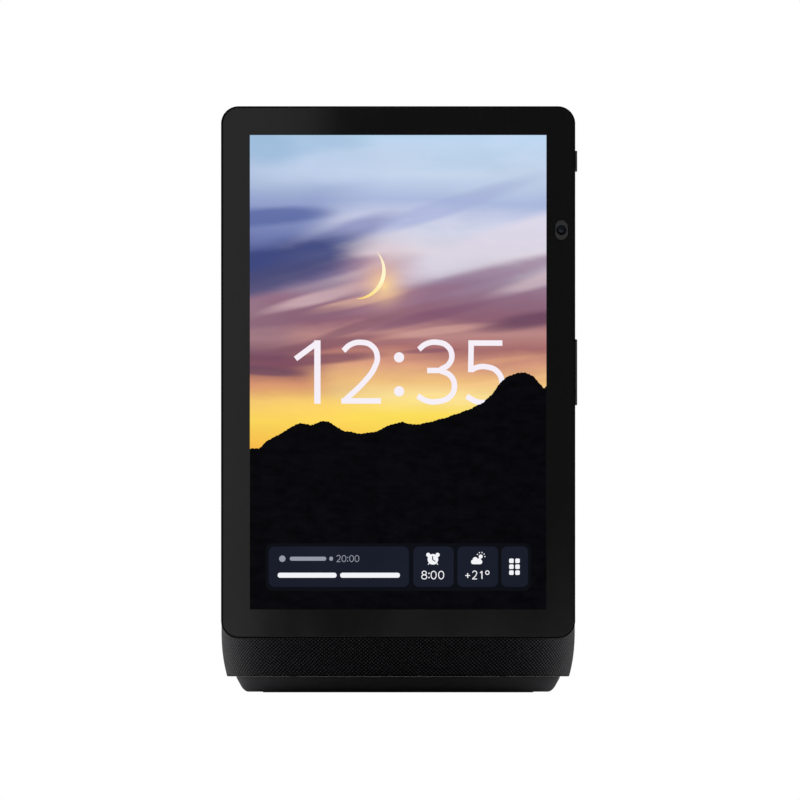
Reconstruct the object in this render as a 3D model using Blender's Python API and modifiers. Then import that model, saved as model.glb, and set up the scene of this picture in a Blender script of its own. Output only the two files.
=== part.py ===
"""Smart display: a portrait touch screen on a tilting, turning hub, in front of a fabric-covered speaker.

The frame: +Z is up, the screen faces -Y, +X is to the right of someone facing the screen.
The origin is the middle of the rubber foot's underside. Lengths are in metres.
"""

import math

import bmesh
import bpy
from mathutils import Matrix, Vector

MM = 0.001
X_AXIS, Y_AXIS, Z_AXIS = Vector((1, 0, 0)), Vector((0, 1, 0)), Vector((0, 0, 1))

# Driving dimensions
ACTIVE_WIDTH, ACTIVE_HEIGHT = 135.6 * MM, 216.96 * MM  # a 10.1 inch 16:10 panel, upright
BEZEL = 13.2 * MM
HEAD_DEPTH = 19 * MM
HEAD_CORNER = 8 * MM
HEAD_LIFT = 24.7 * MM  # table to the head's lower edge
HEAD_BACK_Y = -62 * MM
BODY_HALF_WIDTH, BODY_HALF_DEPTH = 80.8 * MM, 55 * MM
BODY_ROUNDNESS = 3.6  # exponent of the body's oval outline: 2 is an ellipse
GAP = 0.4 * MM  # between separate pieces
WALL = 2.5 * MM

# Worked out from them
HEAD_WIDTH = ACTIVE_WIDTH + 2 * BEZEL
HEAD_HEIGHT = ACTIVE_HEIGHT + 2 * BEZEL
HEAD_Z = HEAD_LIFT + HEAD_HEIGHT / 2
HEAD_FRONT_Y = HEAD_BACK_Y - HEAD_DEPTH
SIDE_X = HEAD_WIDTH / 2

# Heights on the base
FOOT_BOTTOM, FOOT_TOP = 0.3 * MM, 6.9 * MM
SKIN_BOTTOM, SKIN_TOP = 7.3 * MM, 121 * MM
WAIST_LOW, WAIST_HIGH = 28 * MM, 60 * MM  # the skin is widest between these
SKIN_TUCK_BOTTOM, SKIN_TUCK_TOP = 2.6 * MM, 3.6 * MM
FABRIC_THICK = 0.9 * MM
CABINET_IN = FABRIC_THICK + 0.6 * MM  # how far the cabinet stands inside the skin
FLOOR_TOP = 10.3 * MM
CABINET_TOP = 120.3 * MM
CAP_TOP = 134 * MM
CAP_IN = 13.6 * MM  # how far the cap's flat top stands inside the waist

# Joint axes
TILT_Y = -33 * MM
TILT_POINT = Vector((0, TILT_Y, HEAD_Z))
KEY_PIVOT_X = SIDE_X - 6.5 * MM

BODY_SIDES = 36
ROUND_SIDES = 20
SMALL_SIDES = 10

# Depths inside the head, from its front face
GLASS_THICK = 1.1 * MM
LEDGE_FRONT, LEDGE_BACK = 1.4 * MM, 5.4 * MM
FRAME_BACK = 9 * MM
MID_PLATE_FRONT, MID_PLATE_BACK = 5.8 * MM, 6.8 * MM
HUB_PLATE_FRONT, HUB_PLATE_BACK = 13 * MM, 15 * MM

# Neck and hub
EAR_INNER, EAR_OUTER, EAR_RADIUS = 16.4 * MM, 23.4 * MM, 10 * MM
LUG_INNER, LUG_OUTER, LUG_RADIUS = 8.6 * MM, 15 * MM, 9.4 * MM
PIN_RADIUS, PIN_HALF, PIN_CLEARANCE = 3 * MM, 22.6 * MM, 0.35 * MM
HUB_RADIUS, SHOULDER_RADIUS, STUB_RADIUS, BORE_RADIUS = 26 * MM, 15.6 * MM, 12 * MM, 7 * MM
CABLE_Y, CABLE_RADIUS = -41.2 * MM, 1.8 * MM

# Side keys and camera, as heights from the head's centre
KEY_FRONT, KEY_BACK = 4.9 * MM, 7.7 * MM
KEY_PROUD = 0.9 * MM
LIP_IN, LIP_OUT = SIDE_X - 7.2 * MM, SIDE_X - 5.8 * MM  # the lip that keeps a key in
PORT_WALL_X = SIDE_X - 1.8 * MM  # inner face of the frame's wall beside the camera
MUTE_Z, MUTE_HALF = 96.5 * MM, 4.8 * MM
ROCKER_HALF = 15.1 * MM
CAMERA_X, CAMERA_Z = 74.65 * MM, 65 * MM
SHUTTER_TRAVEL = 7 * MM
SHUTTER_Z = CAMERA_Z + SHUTTER_TRAVEL  # the blade's centre, with the lens uncovered

# Drivers: centre height, distance of the rim's face from the body's middle, rim radius, depth
WOOFER = dict(height=70 * MM, face=47.5 * MM, radius=44 * MM, depth=27 * MM)
RADIATOR = dict(height=66 * MM, face=48.3 * MM, radius=38 * MM, depth=9 * MM)
SIDE_DRIVER = dict(height=70 * MM, face=73.6 * MM, radius=27 * MM, depth=15 * MM)
TWEETER = dict(x=65.4 * MM, y=-34.6 * MM, height=32 * MM, turn=math.radians(45))
DRIVER_PLACES = (
    (WOOFER, Y_AXIS), (RADIATOR, -Y_AXIS), (SIDE_DRIVER, X_AXIS), (SIDE_DRIVER, -X_AXIS),
)
RIM_INNER, CONE_EDGE = 0.86, 0.7  # shares of a driver's rim radius

# Layout
SCREW_HEAD, SCREW_SHANK = 2.8 * MM, 1.4 * MM
JACK_Z = 18.5 * MM
AMPLIFIER_TOP = 15.6 * MM
MICROPHONE_X = (-35 * MM, 35 * MM)  # ports in the head's top edge
RIBBON_X, RIBBON_LOW = -40 * MM, -106 * MM


# Scene and materials
def clear_scene():
    for obj in list(bpy.data.objects):
        bpy.data.objects.remove(obj)


clear_scene()
PARTS = bpy.data.collections.new("smart_display")
CUTTERS = bpy.data.collections.new("cutters")
for group in (PARTS, CUTTERS):
    bpy.context.scene.collection.children.link(group)

FINISHES = {  # colour, roughness, metallic
    "black_glass": ((0.012, 0.012, 0.013), 0.12, 0.0),
    "screen_panel": ((0.03, 0.035, 0.05), 0.3, 0.0),
    "white_plastic": ((0.75, 0.75, 0.73), 0.4, 0.0),
    "black_plastic": ((0.018, 0.018, 0.019), 0.45, 0.0),
    "key_plastic": ((0.045, 0.045, 0.047), 0.5, 0.0),
    "trim_plastic": ((0.06, 0.06, 0.062), 0.4, 0.0),
    "lens_glass": ((0.005, 0.006, 0.012), 0.03, 0.0),
    "speaker_fabric": ((0.02, 0.02, 0.022), 0.95, 0.0),
    "foot_rubber": ((0.03, 0.03, 0.03), 0.9, 0.0),
    "cabinet_plastic": ((0.03, 0.03, 0.032), 0.6, 0.0),
    "steel": ((0.55, 0.56, 0.58), 0.35, 1.0),
    "aluminium": ((0.62, 0.63, 0.65), 0.4, 1.0),
    "painted_metal": ((0.022, 0.022, 0.024), 0.4, 0.6),
    "circuit_board": ((0.02, 0.12, 0.05), 0.5, 0.0),
    "chip_plastic": ((0.02, 0.02, 0.02), 0.4, 0.0),
    "cone_paper": ((0.05, 0.05, 0.055), 0.8, 0.0),
    "surround_rubber": ((0.015, 0.015, 0.015), 0.7, 0.0),
    "magnet_ferrite": ((0.07, 0.07, 0.075), 0.5, 0.3),
    "cable_sheath": ((0.02, 0.02, 0.022), 0.6, 0.0),
    "washer_plastic": ((0.8, 0.78, 0.7), 0.4, 0.0),
}


def finish(name):
    """The Principled material of that finish, made the first time it is asked for."""
    found = bpy.data.materials.get(name)
    if found:
        return found
    colour, roughness, metallic = FINISHES[name]
    made = bpy.data.materials.new(name)
    made.use_nodes = True
    made.diffuse_color = (*colour, 1)
    shader = made.node_tree.nodes["Principled BSDF"]
    shader.inputs["Base Color"].default_value = (*colour, 1)
    shader.inputs["Roughness"].default_value = roughness
    shader.inputs["Metallic"].default_value = metallic
    return made


# Modelling helpers
def solid(bm, name, coat=None, origin=(0, 0, 0), parent=None):
    """A bmesh drawn in world space becomes a named object, or a cutter if it has no finish."""
    bmesh.ops.translate(bm, verts=bm.verts, vec=-Vector(origin))
    mesh = bpy.data.meshes.new(name)
    bm.to_mesh(mesh)
    bm.free()
    obj = bpy.data.objects.new(name, mesh)
    obj.location = origin
    if coat:
        mesh.materials.append(finish(coat))
        mesh.shade_smooth()
        mesh.set_sharp_from_angle(angle=math.radians(35))
        PARTS.objects.link(obj)
    else:
        obj.display_type = "WIRE"
        obj.hide_render = True
        CUTTERS.objects.link(obj)
    if parent:
        attach(obj, parent)
    return obj


def attach(obj, parent):
    """Parents an object to a joint's empty and keeps its place in the world."""
    bpy.context.view_layer.update()
    obj.parent = parent
    obj.matrix_parent_inverse = parent.matrix_world.inverted()


def joint_empty(name, location, parent=None):
    empty = bpy.data.objects.new(name, None)
    empty.location = location
    empty.empty_display_size = 10 * MM
    PARTS.objects.link(empty)
    if parent:
        attach(empty, parent)
    bpy.context.view_layer.update()
    return empty


def boolean(target, other, operation):
    modifier = target.modifiers.new(f"{operation.lower()}_{other.name}", "BOOLEAN")
    modifier.operation = operation
    modifier.object = other


def cut(target, *cutters):
    for cutter in cutters:
        boolean(target, cutter, "DIFFERENCE")
    return target


def join(target, *others):
    for other in others:
        boolean(target, other, "UNION")
    return target


def add_box(bm, low, high):
    low, high = Vector(low), Vector(high)
    place = Matrix.Translation((low + high) / 2) @ Matrix.Diagonal((*(high - low), 1))
    bmesh.ops.create_cube(bm, size=1, matrix=place)


def add_cylinder(bm, radius, start, end, sides=ROUND_SIDES):
    start, end = Vector(start), Vector(end)
    turn = Z_AXIS.rotation_difference(end - start).to_matrix().to_4x4()
    place = Matrix.Translation((start + end) / 2) @ turn
    bmesh.ops.create_cone(
        bm,
        cap_ends=True,
        segments=sides,
        radius1=radius,
        radius2=radius,
        depth=(end - start).length,
        matrix=place,
    )


def box(name, low, high, coat=None, parent=None):
    bm = bmesh.new()
    add_box(bm, low, high)
    return solid(bm, name, coat, (Vector(low) + Vector(high)) / 2, parent)


def boxes(name, corners, coat=None, parent=None):
    """Several separate boxes in one node."""
    bm = bmesh.new()
    for low, high in corners:
        add_box(bm, low, high)
    return solid(bm, name, coat, Vector(corners[0][0]), parent)


def cylinder(name, radius, start, end, coat=None, parent=None, sides=ROUND_SIDES):
    bm = bmesh.new()
    add_cylinder(bm, radius, start, end, sides)
    return solid(bm, name, coat, start, parent)


def cylinders(name, radius, spans, coat=None, parent=None, sides=SMALL_SIDES):
    """Several separate cylinders in one node, one for each (start, end)."""
    bm = bmesh.new()
    for start, end in spans:
        add_cylinder(bm, radius, start, end, sides)
    return solid(bm, name, coat, Vector(spans[0][0]), parent)


def edges_along(bm, axis):
    return [
        e for e in bm.edges if abs((e.verts[1].co - e.verts[0].co).normalized().dot(axis)) > 0.99
    ]


def bevel(bm, edges, radius, steps):
    bmesh.ops.bevel(bm, geom=edges, offset=radius, segments=steps, profile=0.5, affect="EDGES")


def slab(name, low, high, corner, coat=None, parent=None, along=Y_AXIS, steps=4):
    """A plate whose four edges along one axis are rounded."""
    bm = bmesh.new()
    add_box(bm, low, high)
    bevel(bm, edges_along(bm, along), corner, steps)
    return solid(bm, name, coat, (Vector(low) + Vector(high)) / 2, parent)


def turned(name, profile, location, direction, coat=None, parent=None, ring=False, sides=ROUND_SIDES):
    """A profile of (radius, height), outer side from top to bottom, turned about a line along direction.

    ring closes a profile that doesn't reach the axis.
    """
    mesh = bpy.data.meshes.new(name)
    points = [(radius, 0, height) for radius, height in profile]
    edges = [(i, i + 1) for i in range(len(points) - 1)]
    if ring:
        edges.append((len(points) - 1, 0))
    mesh.from_pydata(points, edges, [])
    obj = bpy.data.objects.new(name, mesh)
    obj.location = location
    obj.rotation_euler = Z_AXIS.rotation_difference(Vector(direction)).to_euler()
    screw = obj.modifiers.new("turn", "SCREW")
    screw.steps = screw.render_steps = sides
    screw.use_merge_vertices = True
    screw.merge_threshold = 0.00001
    screw.use_smooth_shade = False
    if coat:
        mesh.materials.append(finish(coat))
        PARTS.objects.link(obj)
    else:
        obj.display_type = "WIRE"
        obj.hide_render = True
        CUTTERS.objects.link(obj)
    if parent:
        attach(obj, parent)
    return obj


def cable(name, route, radius, coat, parent=None):
    """A round cable along a smooth curve through the route's points."""
    curve = bpy.data.curves.new(name, "CURVE")
    curve.dimensions = "3D"
    curve.bevel_depth = radius
    curve.bevel_resolution = 2
    curve.use_fill_caps = True
    spline = curve.splines.new("POLY")
    points = smooth_route([Vector(p) for p in route])
    spline.points.add(len(points) - 1)
    for spot, point in zip(spline.points, points):
        spot.co = (*point, 1)
    obj = bpy.data.objects.new(name, curve)
    curve.materials.append(finish(coat))
    PARTS.objects.link(obj)
    if parent:
        attach(obj, parent)
    return obj


def smooth_route(points, steps=4):
    """Points read from a Catmull-Rom curve through the given ones."""
    ends = [2 * points[0] - points[1], *points, 2 * points[-1] - points[-2]]
    made = []
    for a, b, c, d in zip(ends, ends[1:], ends[2:], ends[3:]):
        for i in range(steps):
            t = i / steps
            made.append(
                0.5 * (2 * b + (c - a) * t + (2 * a - 5 * b + 4 * c - d) * t**2
                       + (3 * b - a - 3 * c + d) * t**3)
            )
    return [*made, points[-1]]


# The body's barrel shape
def oval_point(angle, half_width, half_depth, height):
    """A point of a superellipse, which is squarer than an ellipse."""
    power = 2 / BODY_ROUNDNESS
    x, y = math.cos(angle), math.sin(angle)
    return Vector((
        math.copysign(abs(x) ** power, x) * half_width,
        math.copysign(abs(y) ** power, y) * half_depth,
        height,
    ))


def add_barrel(bm, levels, cap_bottom=False, cap_top=False, sides=BODY_SIDES):
    """Rings of one oval outline, each (inset from the waist, height), joined by extruding edges."""
    inset, height = levels[0]
    ring = bmesh.ops.create_circle(bm, segments=sides, radius=1, cap_ends=cap_bottom)["verts"]
    for vert in ring:
        angle = math.atan2(vert.co.y, vert.co.x)
        vert.co = oval_point(angle, BODY_HALF_WIDTH - inset, BODY_HALF_DEPTH - inset, height)
    edges = [e for e in bm.edges if all(v in ring for v in e.verts)]
    for next_inset, next_height in levels[1:]:
        made = bmesh.ops.extrude_edge_only(bm, edges=edges)["geom"]
        edges = [g for g in made if isinstance(g, bmesh.types.BMEdge)]
        for vert in (g for g in made if isinstance(g, bmesh.types.BMVert)):
            vert.co.x *= (BODY_HALF_WIDTH - next_inset) / (BODY_HALF_WIDTH - inset)
            vert.co.y *= (BODY_HALF_DEPTH - next_inset) / (BODY_HALF_DEPTH - inset)
            vert.co.z = next_height
        inset = next_inset
    if cap_top:
        bmesh.ops.contextual_create(bm, geom=edges)
    bmesh.ops.recalc_face_normals(bm, faces=bm.faces)


def barrel(name, levels, coat=None, cap_bottom=True, cap_top=True):
    bm = bmesh.new()
    add_barrel(bm, levels, cap_bottom, cap_top)
    return solid(bm, name, coat)


def skin_inset(height):
    """How far the outer skin stands inside its waist at a height."""
    if height < WAIST_LOW:
        share = (WAIST_LOW - height) / (WAIST_LOW - SKIN_BOTTOM)
        return SKIN_TUCK_BOTTOM * share**2.2
    if height > WAIST_HIGH:
        share = (height - WAIST_HIGH) / (SKIN_TOP - WAIST_HIGH)
        return SKIN_TUCK_TOP * share**2
    return 0.0


def skin_levels(bottom, top, inwards=0.0, steps=6):
    """Levels of the skin between two heights, closer together near the ends, moved inwards."""
    levels = []
    for i in range(steps + 1):
        share = (1 - math.cos(math.pi * i / steps)) / 2
        height = bottom + (top - bottom) * share
        levels.append((skin_inset(height) + inwards, height))
    return levels


def shell(obj, thickness):
    modifier = obj.modifiers.new("wall", "SOLIDIFY")
    modifier.thickness = thickness
    modifier.offset = -1
    modifier.use_even_offset = True
    return obj


def on_front(x, depth, z):
    """A point of the head from its front: across, back from the front face, and up from the centre."""
    return Vector((x, HEAD_FRONT_Y + depth, HEAD_Z + z))


def head_box(name, low, high, coat=None, parent=None):
    """A box whose corners are (across, depth, up) in the head."""
    return box(name, on_front(*low), on_front(*high), coat, parent)


def head_boxes(name, corners, coat=None, parent=None):
    return boxes(name, [(on_front(*low), on_front(*high)) for low, high in corners], coat, parent)


def head_slab(name, low, high, corner, coat=None, parent=None, along=Y_AXIS, steps=4):
    return slab(name, on_front(*low), on_front(*high), corner, coat, parent, along, steps)


def head_disc(name, radius, front, back, coat=None, parent=None):
    """A cylinder on the swivel axis, between two depths."""
    return cylinder(name, radius, on_front(0, front, 0), on_front(0, back, 0), coat, parent)


def head_pins(name, radius, spots, front, back, coat=None, parent=None):
    """Several separate cylinders through the head's depth, one for each (across, up)."""
    spans = [(on_front(x, front, z), on_front(x, back, z)) for x, z in spots]
    return cylinders(name, radius, spans, coat, parent)


def upright_pins(name, radius, spots, low, high, coat=None):
    """Several separate upright cylinders, one for each (x, y)."""
    return cylinders(name, radius, [((x, y, low), (x, y, high)) for x, y in spots], coat)


def build_screw(name, seat, direction, head_thick, length):
    """A screw whose head lies on its seat and points along direction."""
    profile = [
        (0, head_thick), (SCREW_HEAD, head_thick), (SCREW_HEAD, 0),
        (SCREW_SHANK, 0), (SCREW_SHANK, -length), (0, -length),
    ]
    turned(name, profile, seat, direction, "steel", sides=SMALL_SIDES)


# Where the speaker drivers are
def driver_centre(spec, direction):
    return direction * spec["face"] + Z_AXIS * spec["height"]


def tweeter_places():
    """The centre and direction of each tweeter's face."""
    x, y, height, turn = TWEETER["x"], TWEETER["y"], TWEETER["height"], TWEETER["turn"]
    return [
        (Vector((side * x, y, height)), Vector((side * math.sin(turn), -math.cos(turn), 0)))
        for side in (-1, 1)
    ]


# Base: foot, cabinet, fabric and top cap
def build_foot():
    outline = ((12.3, 0.3), (10.7, 0.9), (9.1, 2.3), (7.9, 4.7), (6.8, 6.9))
    foot = barrel("foot", [(inset * MM, height * MM) for inset, height in outline], "black_plastic")
    pad_in, pocket_in = 18.8 * MM, 14.8 * MM
    recess_top, pocket_floor = 1.9 * MM, 4 * MM
    below, above = FOOT_BOTTOM - GAP, FOOT_TOP + GAP
    cut(foot, barrel("foot_recess", [(pad_in - GAP, below), (pad_in - GAP, recess_top)]))
    cut(foot, barrel("foot_pocket", [(pocket_in, pocket_floor), (pocket_in, above)]))
    barrel("foot_pad", [(pad_in, 0), (pad_in, recess_top - GAP)], "foot_rubber")
    plate_in, plate_low, plate_high = pocket_in + GAP, pocket_floor + GAP, FOOT_TOP - GAP
    ballast = barrel("ballast_plate", [(plate_in, plate_low), (plate_in, plate_high)], "steel")
    floor_levels = skin_levels(SKIN_BOTTOM, FLOOR_TOP, CABINET_IN, 2)
    floor = barrel("cabinet_floor", floor_levels, "cabinet_plastic")

    seat, head_thick, length = 3.4 * MM, 1.2 * MM, 6 * MM
    spots = [(-48 * MM, 0), (48 * MM, 0)]
    for side, spot in zip(("left", "right"), spots):
        build_screw(f"{side}_foot_screw", (*spot, seat), -Z_AXIS, head_thick, length)
    cut(foot, upright_pins("screw_seats", SCREW_HEAD + GAP, spots, recess_top - GAP, seat + GAP))
    holes = upright_pins("screw_holes", SCREW_SHANK + GAP, spots, recess_top, seat + length + GAP)
    for piece in (foot, ballast, floor):
        cut(piece, holes)


def build_cabinet():
    levels = skin_levels(FLOOR_TOP + GAP, CABINET_TOP, CABINET_IN, 4)
    cabinet = barrel("cabinet", levels, "cabinet_plastic", cap_bottom=False)
    shell(cabinet, WALL)
    reach = 12 * MM
    openings = [
        (driver_centre(spec, direction), direction, spec["radius"] * RIM_INNER)
        for spec, direction in DRIVER_PLACES
    ]
    openings += [(centre, direction, 10 * MM) for centre, direction in tweeter_places()]
    for number, (centre, direction, radius) in enumerate(openings, 1):
        start, end = centre - direction * reach, centre + direction * reach
        cut(cabinet, cylinder(f"driver_opening_{number}", radius, start, end))
    return cabinet


def build_fabric():
    levels = skin_levels(SKIN_BOTTOM, SKIN_TOP)
    fabric = barrel("fabric_cover", levels, "speaker_fabric", cap_bottom=False, cap_top=False)
    return shell(fabric, FABRIC_THICK)


def build_top_cap():
    rim_height = SKIN_TOP + GAP
    rise, reach = CAP_TOP - rim_height, CAP_IN - SKIN_TUCK_TOP
    turns = [math.pi / 2 * i / 4 for i in range(5)]
    levels = [
        (SKIN_TUCK_TOP + reach * (1 - math.cos(turn)), rim_height + rise * math.sin(turn))
        for turn in turns
    ]
    cap = barrel("top_cap", levels, "black_plastic", cap_bottom=False)
    shell(cap, 2 * MM)
    half_width, half_depth = EAR_OUTER + 1.1 * MM, EAR_RADIUS + 2 * MM
    low = (-half_width, TILT_Y - half_depth, CABINET_TOP)
    high = (half_width, TILT_Y + half_depth, CAP_TOP + 5 * MM)
    cut(cap, slab("neck_slot", low, high, 5 * MM, along=Z_AXIS))


# Neck and hub
def build_neck(cabinet):
    flange_low, flange_high = CABINET_TOP + GAP, CABINET_TOP + 4.4 * MM
    low = (-31 * MM, TILT_Y - 14 * MM, flange_low)
    high = (31 * MM, TILT_Y + 20 * MM, flange_high)
    neck = slab("neck", low, high, 6 * MM, "painted_metal", along=Z_AXIS)
    for side in (-1, 1):
        inner, outer = sorted((side * EAR_INNER, side * EAR_OUTER))
        post_low = (inner, TILT_Y - EAR_RADIUS, flange_high - 2 * MM)
        post = box(f"ear_post_{side}", post_low, (outer, TILT_Y + EAR_RADIUS, HEAD_Z))
        join(neck, post, tilt_cylinder(f"ear_eye_{side}", EAR_RADIUS, inner, outer))
    bore_half = PIN_HALF + GAP
    cut(neck, tilt_cylinder("pin_bore", PIN_RADIUS + PIN_CLEARANCE, -bore_half, bore_half))

    spots = [(x * 27 * MM, TILT_Y + y * MM) for x in (-1, 1) for y in (-8, 14)]
    seat, length = flange_high + GAP, 10 * MM
    for number, spot in enumerate(spots, 1):
        build_screw(f"neck_screw_{number}", (*spot, seat), Z_AXIS, 1.7 * MM, length)
    hole_low = seat - length - GAP
    screw_holes = upright_pins("neck_screw_holes", SCREW_SHANK + GAP, spots, hole_low, seat)
    cable_hole = upright_pins("cable_hole", 3 * MM, [(0, CABLE_Y)], hole_low, seat)
    for piece in (neck, cabinet):
        cut(piece, screw_holes, cable_hole)


def tilt_cylinder(name, radius, low, high, coat=None):
    """A cylinder on the tilt axis between two distances across."""
    return cylinder(name, radius, (low, TILT_Y, HEAD_Z), (high, TILT_Y, HEAD_Z), coat)


def ring_about_stub(name, front, back, outer, coat, tilt):
    inner = STUB_RADIUS + PIN_CLEARANCE
    half = (back - front) / 2
    profile = [(outer, half), (outer, -half), (inner, -half), (inner, half)]
    middle = on_front(0, (front + back) / 2, 0)
    return turned(name, profile, middle, Y_AXIS, coat, tilt, ring=True)


def build_hub(tilt):
    """The hub tilts on the neck's pin, and its hollow stub is what the head turns on."""
    flange_front, flange_back = HEAD_DEPTH + GAP, HEAD_DEPTH + 5 * MM
    stub_end = HUB_PLATE_FRONT - 3.4 * MM
    shoulder = HUB_PLATE_BACK + 1.2 * MM
    hub = head_disc("swivel_hub", HUB_RADIUS, flange_front, flange_back, "painted_metal", tilt)
    join(hub, head_disc("hub_collar", SHOULDER_RADIUS, shoulder, flange_back - 1 * MM))
    join(hub, head_disc("hub_stub", STUB_RADIUS, stub_end, flange_back - 2 * MM))
    for side in (-1, 1):
        inner, outer = sorted((side * LUG_INNER, side * LUG_OUTER))
        arm_low = (inner, HEAD_FRONT_Y + flange_back - 2 * MM, HEAD_Z - LUG_RADIUS)
        arm = box(f"lug_arm_{side}", arm_low, (outer, TILT_Y, HEAD_Z + LUG_RADIUS))
        join(hub, arm, tilt_cylinder(f"lug_eye_{side}", LUG_RADIUS, inner, outer))
    bore_half = LUG_OUTER + GAP
    cut(hub, head_disc("hub_bore", BORE_RADIUS, stub_end - GAP, flange_back + GAP))
    cut(hub, tilt_cylinder("lug_bore", PIN_RADIUS + PIN_CLEARANCE, -bore_half, bore_half))
    tilt_cylinder("tilt_pin", PIN_RADIUS, -PIN_HALF, PIN_HALF, "steel")

    washer_low, washer_high = LUG_OUTER + PIN_CLEARANCE, EAR_INNER - PIN_CLEARANCE
    washer_radius = LUG_RADIUS - 1 * MM
    washer_bore = tilt_cylinder("washer_bore", PIN_RADIUS + PIN_CLEARANCE, -EAR_INNER, EAR_INNER)
    for name, side in (("left_tilt_washer", -1), ("right_tilt_washer", 1)):
        low, high = sorted((side * washer_low, side * washer_high))
        cut(tilt_cylinder(name, washer_radius, low, high, "washer_plastic"), washer_bore)

    front, back = stub_end + 0.2 * MM, HUB_PLATE_FRONT - 1.3 * MM
    ring_about_stub("retaining_ring", front, back, 18 * MM, "steel", tilt)
    thick, washer_radius = 0.6 * MM, 19 * MM
    for name, front in (
        ("front_swivel_washer", HUB_PLATE_FRONT - 0.9 * MM),
        ("rear_swivel_washer", HUB_PLATE_BACK + 0.3 * MM),
    ):
        ring_about_stub(name, front, front + thick, washer_radius, "washer_plastic", tilt)


def build_swivel_plate(swivel):
    """The steel plate that turns on the hub's stub between two washers, with its four riveted spacers."""
    half = 29 * MM
    low, high = (-half, HUB_PLATE_FRONT, -half), (half, HUB_PLATE_BACK, half)
    plate = head_slab("swivel_plate", low, high, 8 * MM, "steel", swivel)
    bore_radius = STUB_RADIUS + PIN_CLEARANCE
    cut(plate, head_disc("plate_bore", bore_radius, HUB_PLATE_FRONT - GAP, HUB_PLATE_BACK + GAP))
    spots = [(x * 24 * MM, z * 24 * MM) for x in (-1, 1) for z in (-1, 1)]
    front, back = MID_PLATE_BACK + 0.3 * MM, HUB_PLATE_FRONT + 0.3 * MM
    join(plate, head_pins("plate_spacers", 3.5 * MM, spots, front, back))


# Head
def build_glass_and_panel(swivel):
    rim = 0.7 * MM
    half_width, half_height = SIDE_X - rim, HEAD_HEIGHT / 2 - rim
    low, high = (-half_width, 0, -half_height), (half_width, GLASS_THICK, half_height)
    glass = head_slab("cover_glass", low, high, HEAD_CORNER - rim, "black_glass", swivel, steps=6)
    cut(glass, camera_pill("pill_hole", 0.25 * MM, -GAP, GLASS_THICK + GAP))
    for name, margin, front, back, coat in (
        ("lcd_panel", 2.2 * MM, LEDGE_FRONT, 2.6 * MM, "screen_panel"),
        ("backlight_unit", 3 * MM, 2.9 * MM, LEDGE_BACK, "white_plastic"),
    ):
        half_width, half_height = ACTIVE_WIDTH / 2 + margin, ACTIVE_HEIGHT / 2 + margin
        low, high = (-half_width, front, -half_height), (half_width, back, half_height)
        head_slab(name, low, high, 1 * MM, coat, swivel, steps=2)


def camera_pill(name, grow, front, back, coat=None, parent=None):
    """The oblong round the camera lens, grown by a margin."""
    half_width, half_height = 2.75 * MM + grow, 4.5 * MM + grow
    low = (CAMERA_X - half_width, front, CAMERA_Z - half_height)
    high = (CAMERA_X + half_width, back, CAMERA_Z + half_height)
    return head_slab(name, low, high, half_width * 0.999, coat, parent, steps=6)


def build_camera(swivel):
    trim = camera_pill("camera_trim", 0, 0.1 * MM, 1.2 * MM, "trim_plastic", swivel)
    spot = [(CAMERA_X, CAMERA_Z)]
    cut(trim, head_pins("lens_window", 2.3 * MM, spot, -GAP, 1.6 * MM))
    half = 2.9 * MM
    low = (CAMERA_X - half, 4.2 * MM, CAMERA_Z - half)
    high = (CAMERA_X + half, 8.6 * MM, CAMERA_Z + half)
    head_box("camera_module", low, high, "chip_plastic", swivel)
    profile = ((0, 0.5), (1.3, 0.36), (2.1, 0), (2.5, -0.3), (2.5, -1), (0, -1))
    dome = [(radius * MM, height * MM) for radius, height in profile]
    centre = on_front(CAMERA_X, 2.9 * MM, CAMERA_Z)
    turned("camera_lens", dome, centre, -Y_AXIS, "lens_glass", swivel, sides=16)


def build_shutter(swivel):
    """The blade hides behind the bezel above the lens, and its tab lies flush in the head's right side."""
    centre = SHUTTER_Z
    link_out = PORT_WALL_X - GAP

    def block(name, x_low, x_high, front, back, half, coat=None, parent=None):
        low, high = (x_low, front, centre - half), (x_high, back, centre + half)
        return head_box(name, low, high, coat, parent)

    blade_low, blade_high = CAMERA_X - 3.3 * MM, PORT_WALL_X - 0.3 * MM
    blade_front, blade_back = 1.6 * MM, 2.1 * MM
    shutter = block(
        "shutter_slider", blade_low, blade_high, blade_front, blade_back, 3.4 * MM, "trim_plastic", swivel
    )
    link = block("shutter_link", link_out - 0.8 * MM, link_out, 1.7 * MM, 6.7 * MM, 2.5 * MM)
    stem = block("shutter_stem", link_out - 0.7 * MM, SIDE_X - GAP, 5.2 * MM, 6.6 * MM, 2.4 * MM)
    tab = block("shutter_tab", SIDE_X - 0.7 * MM, SIDE_X, 4.5 * MM, 7.4 * MM, 3.5 * MM)
    join(shutter, link, stem, tab)
    heights = [centre + i * 1.2 * MM for i in range(-2, 3)]
    near, far = SIDE_X - 0.25 * MM, SIDE_X + 1 * MM
    grooves = [((near, 4 * MM, z - 0.2 * MM), (far, 8 * MM, z + 0.2 * MM)) for z in heights]
    cut(shutter, head_boxes("tab_grooves", grooves))


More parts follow.
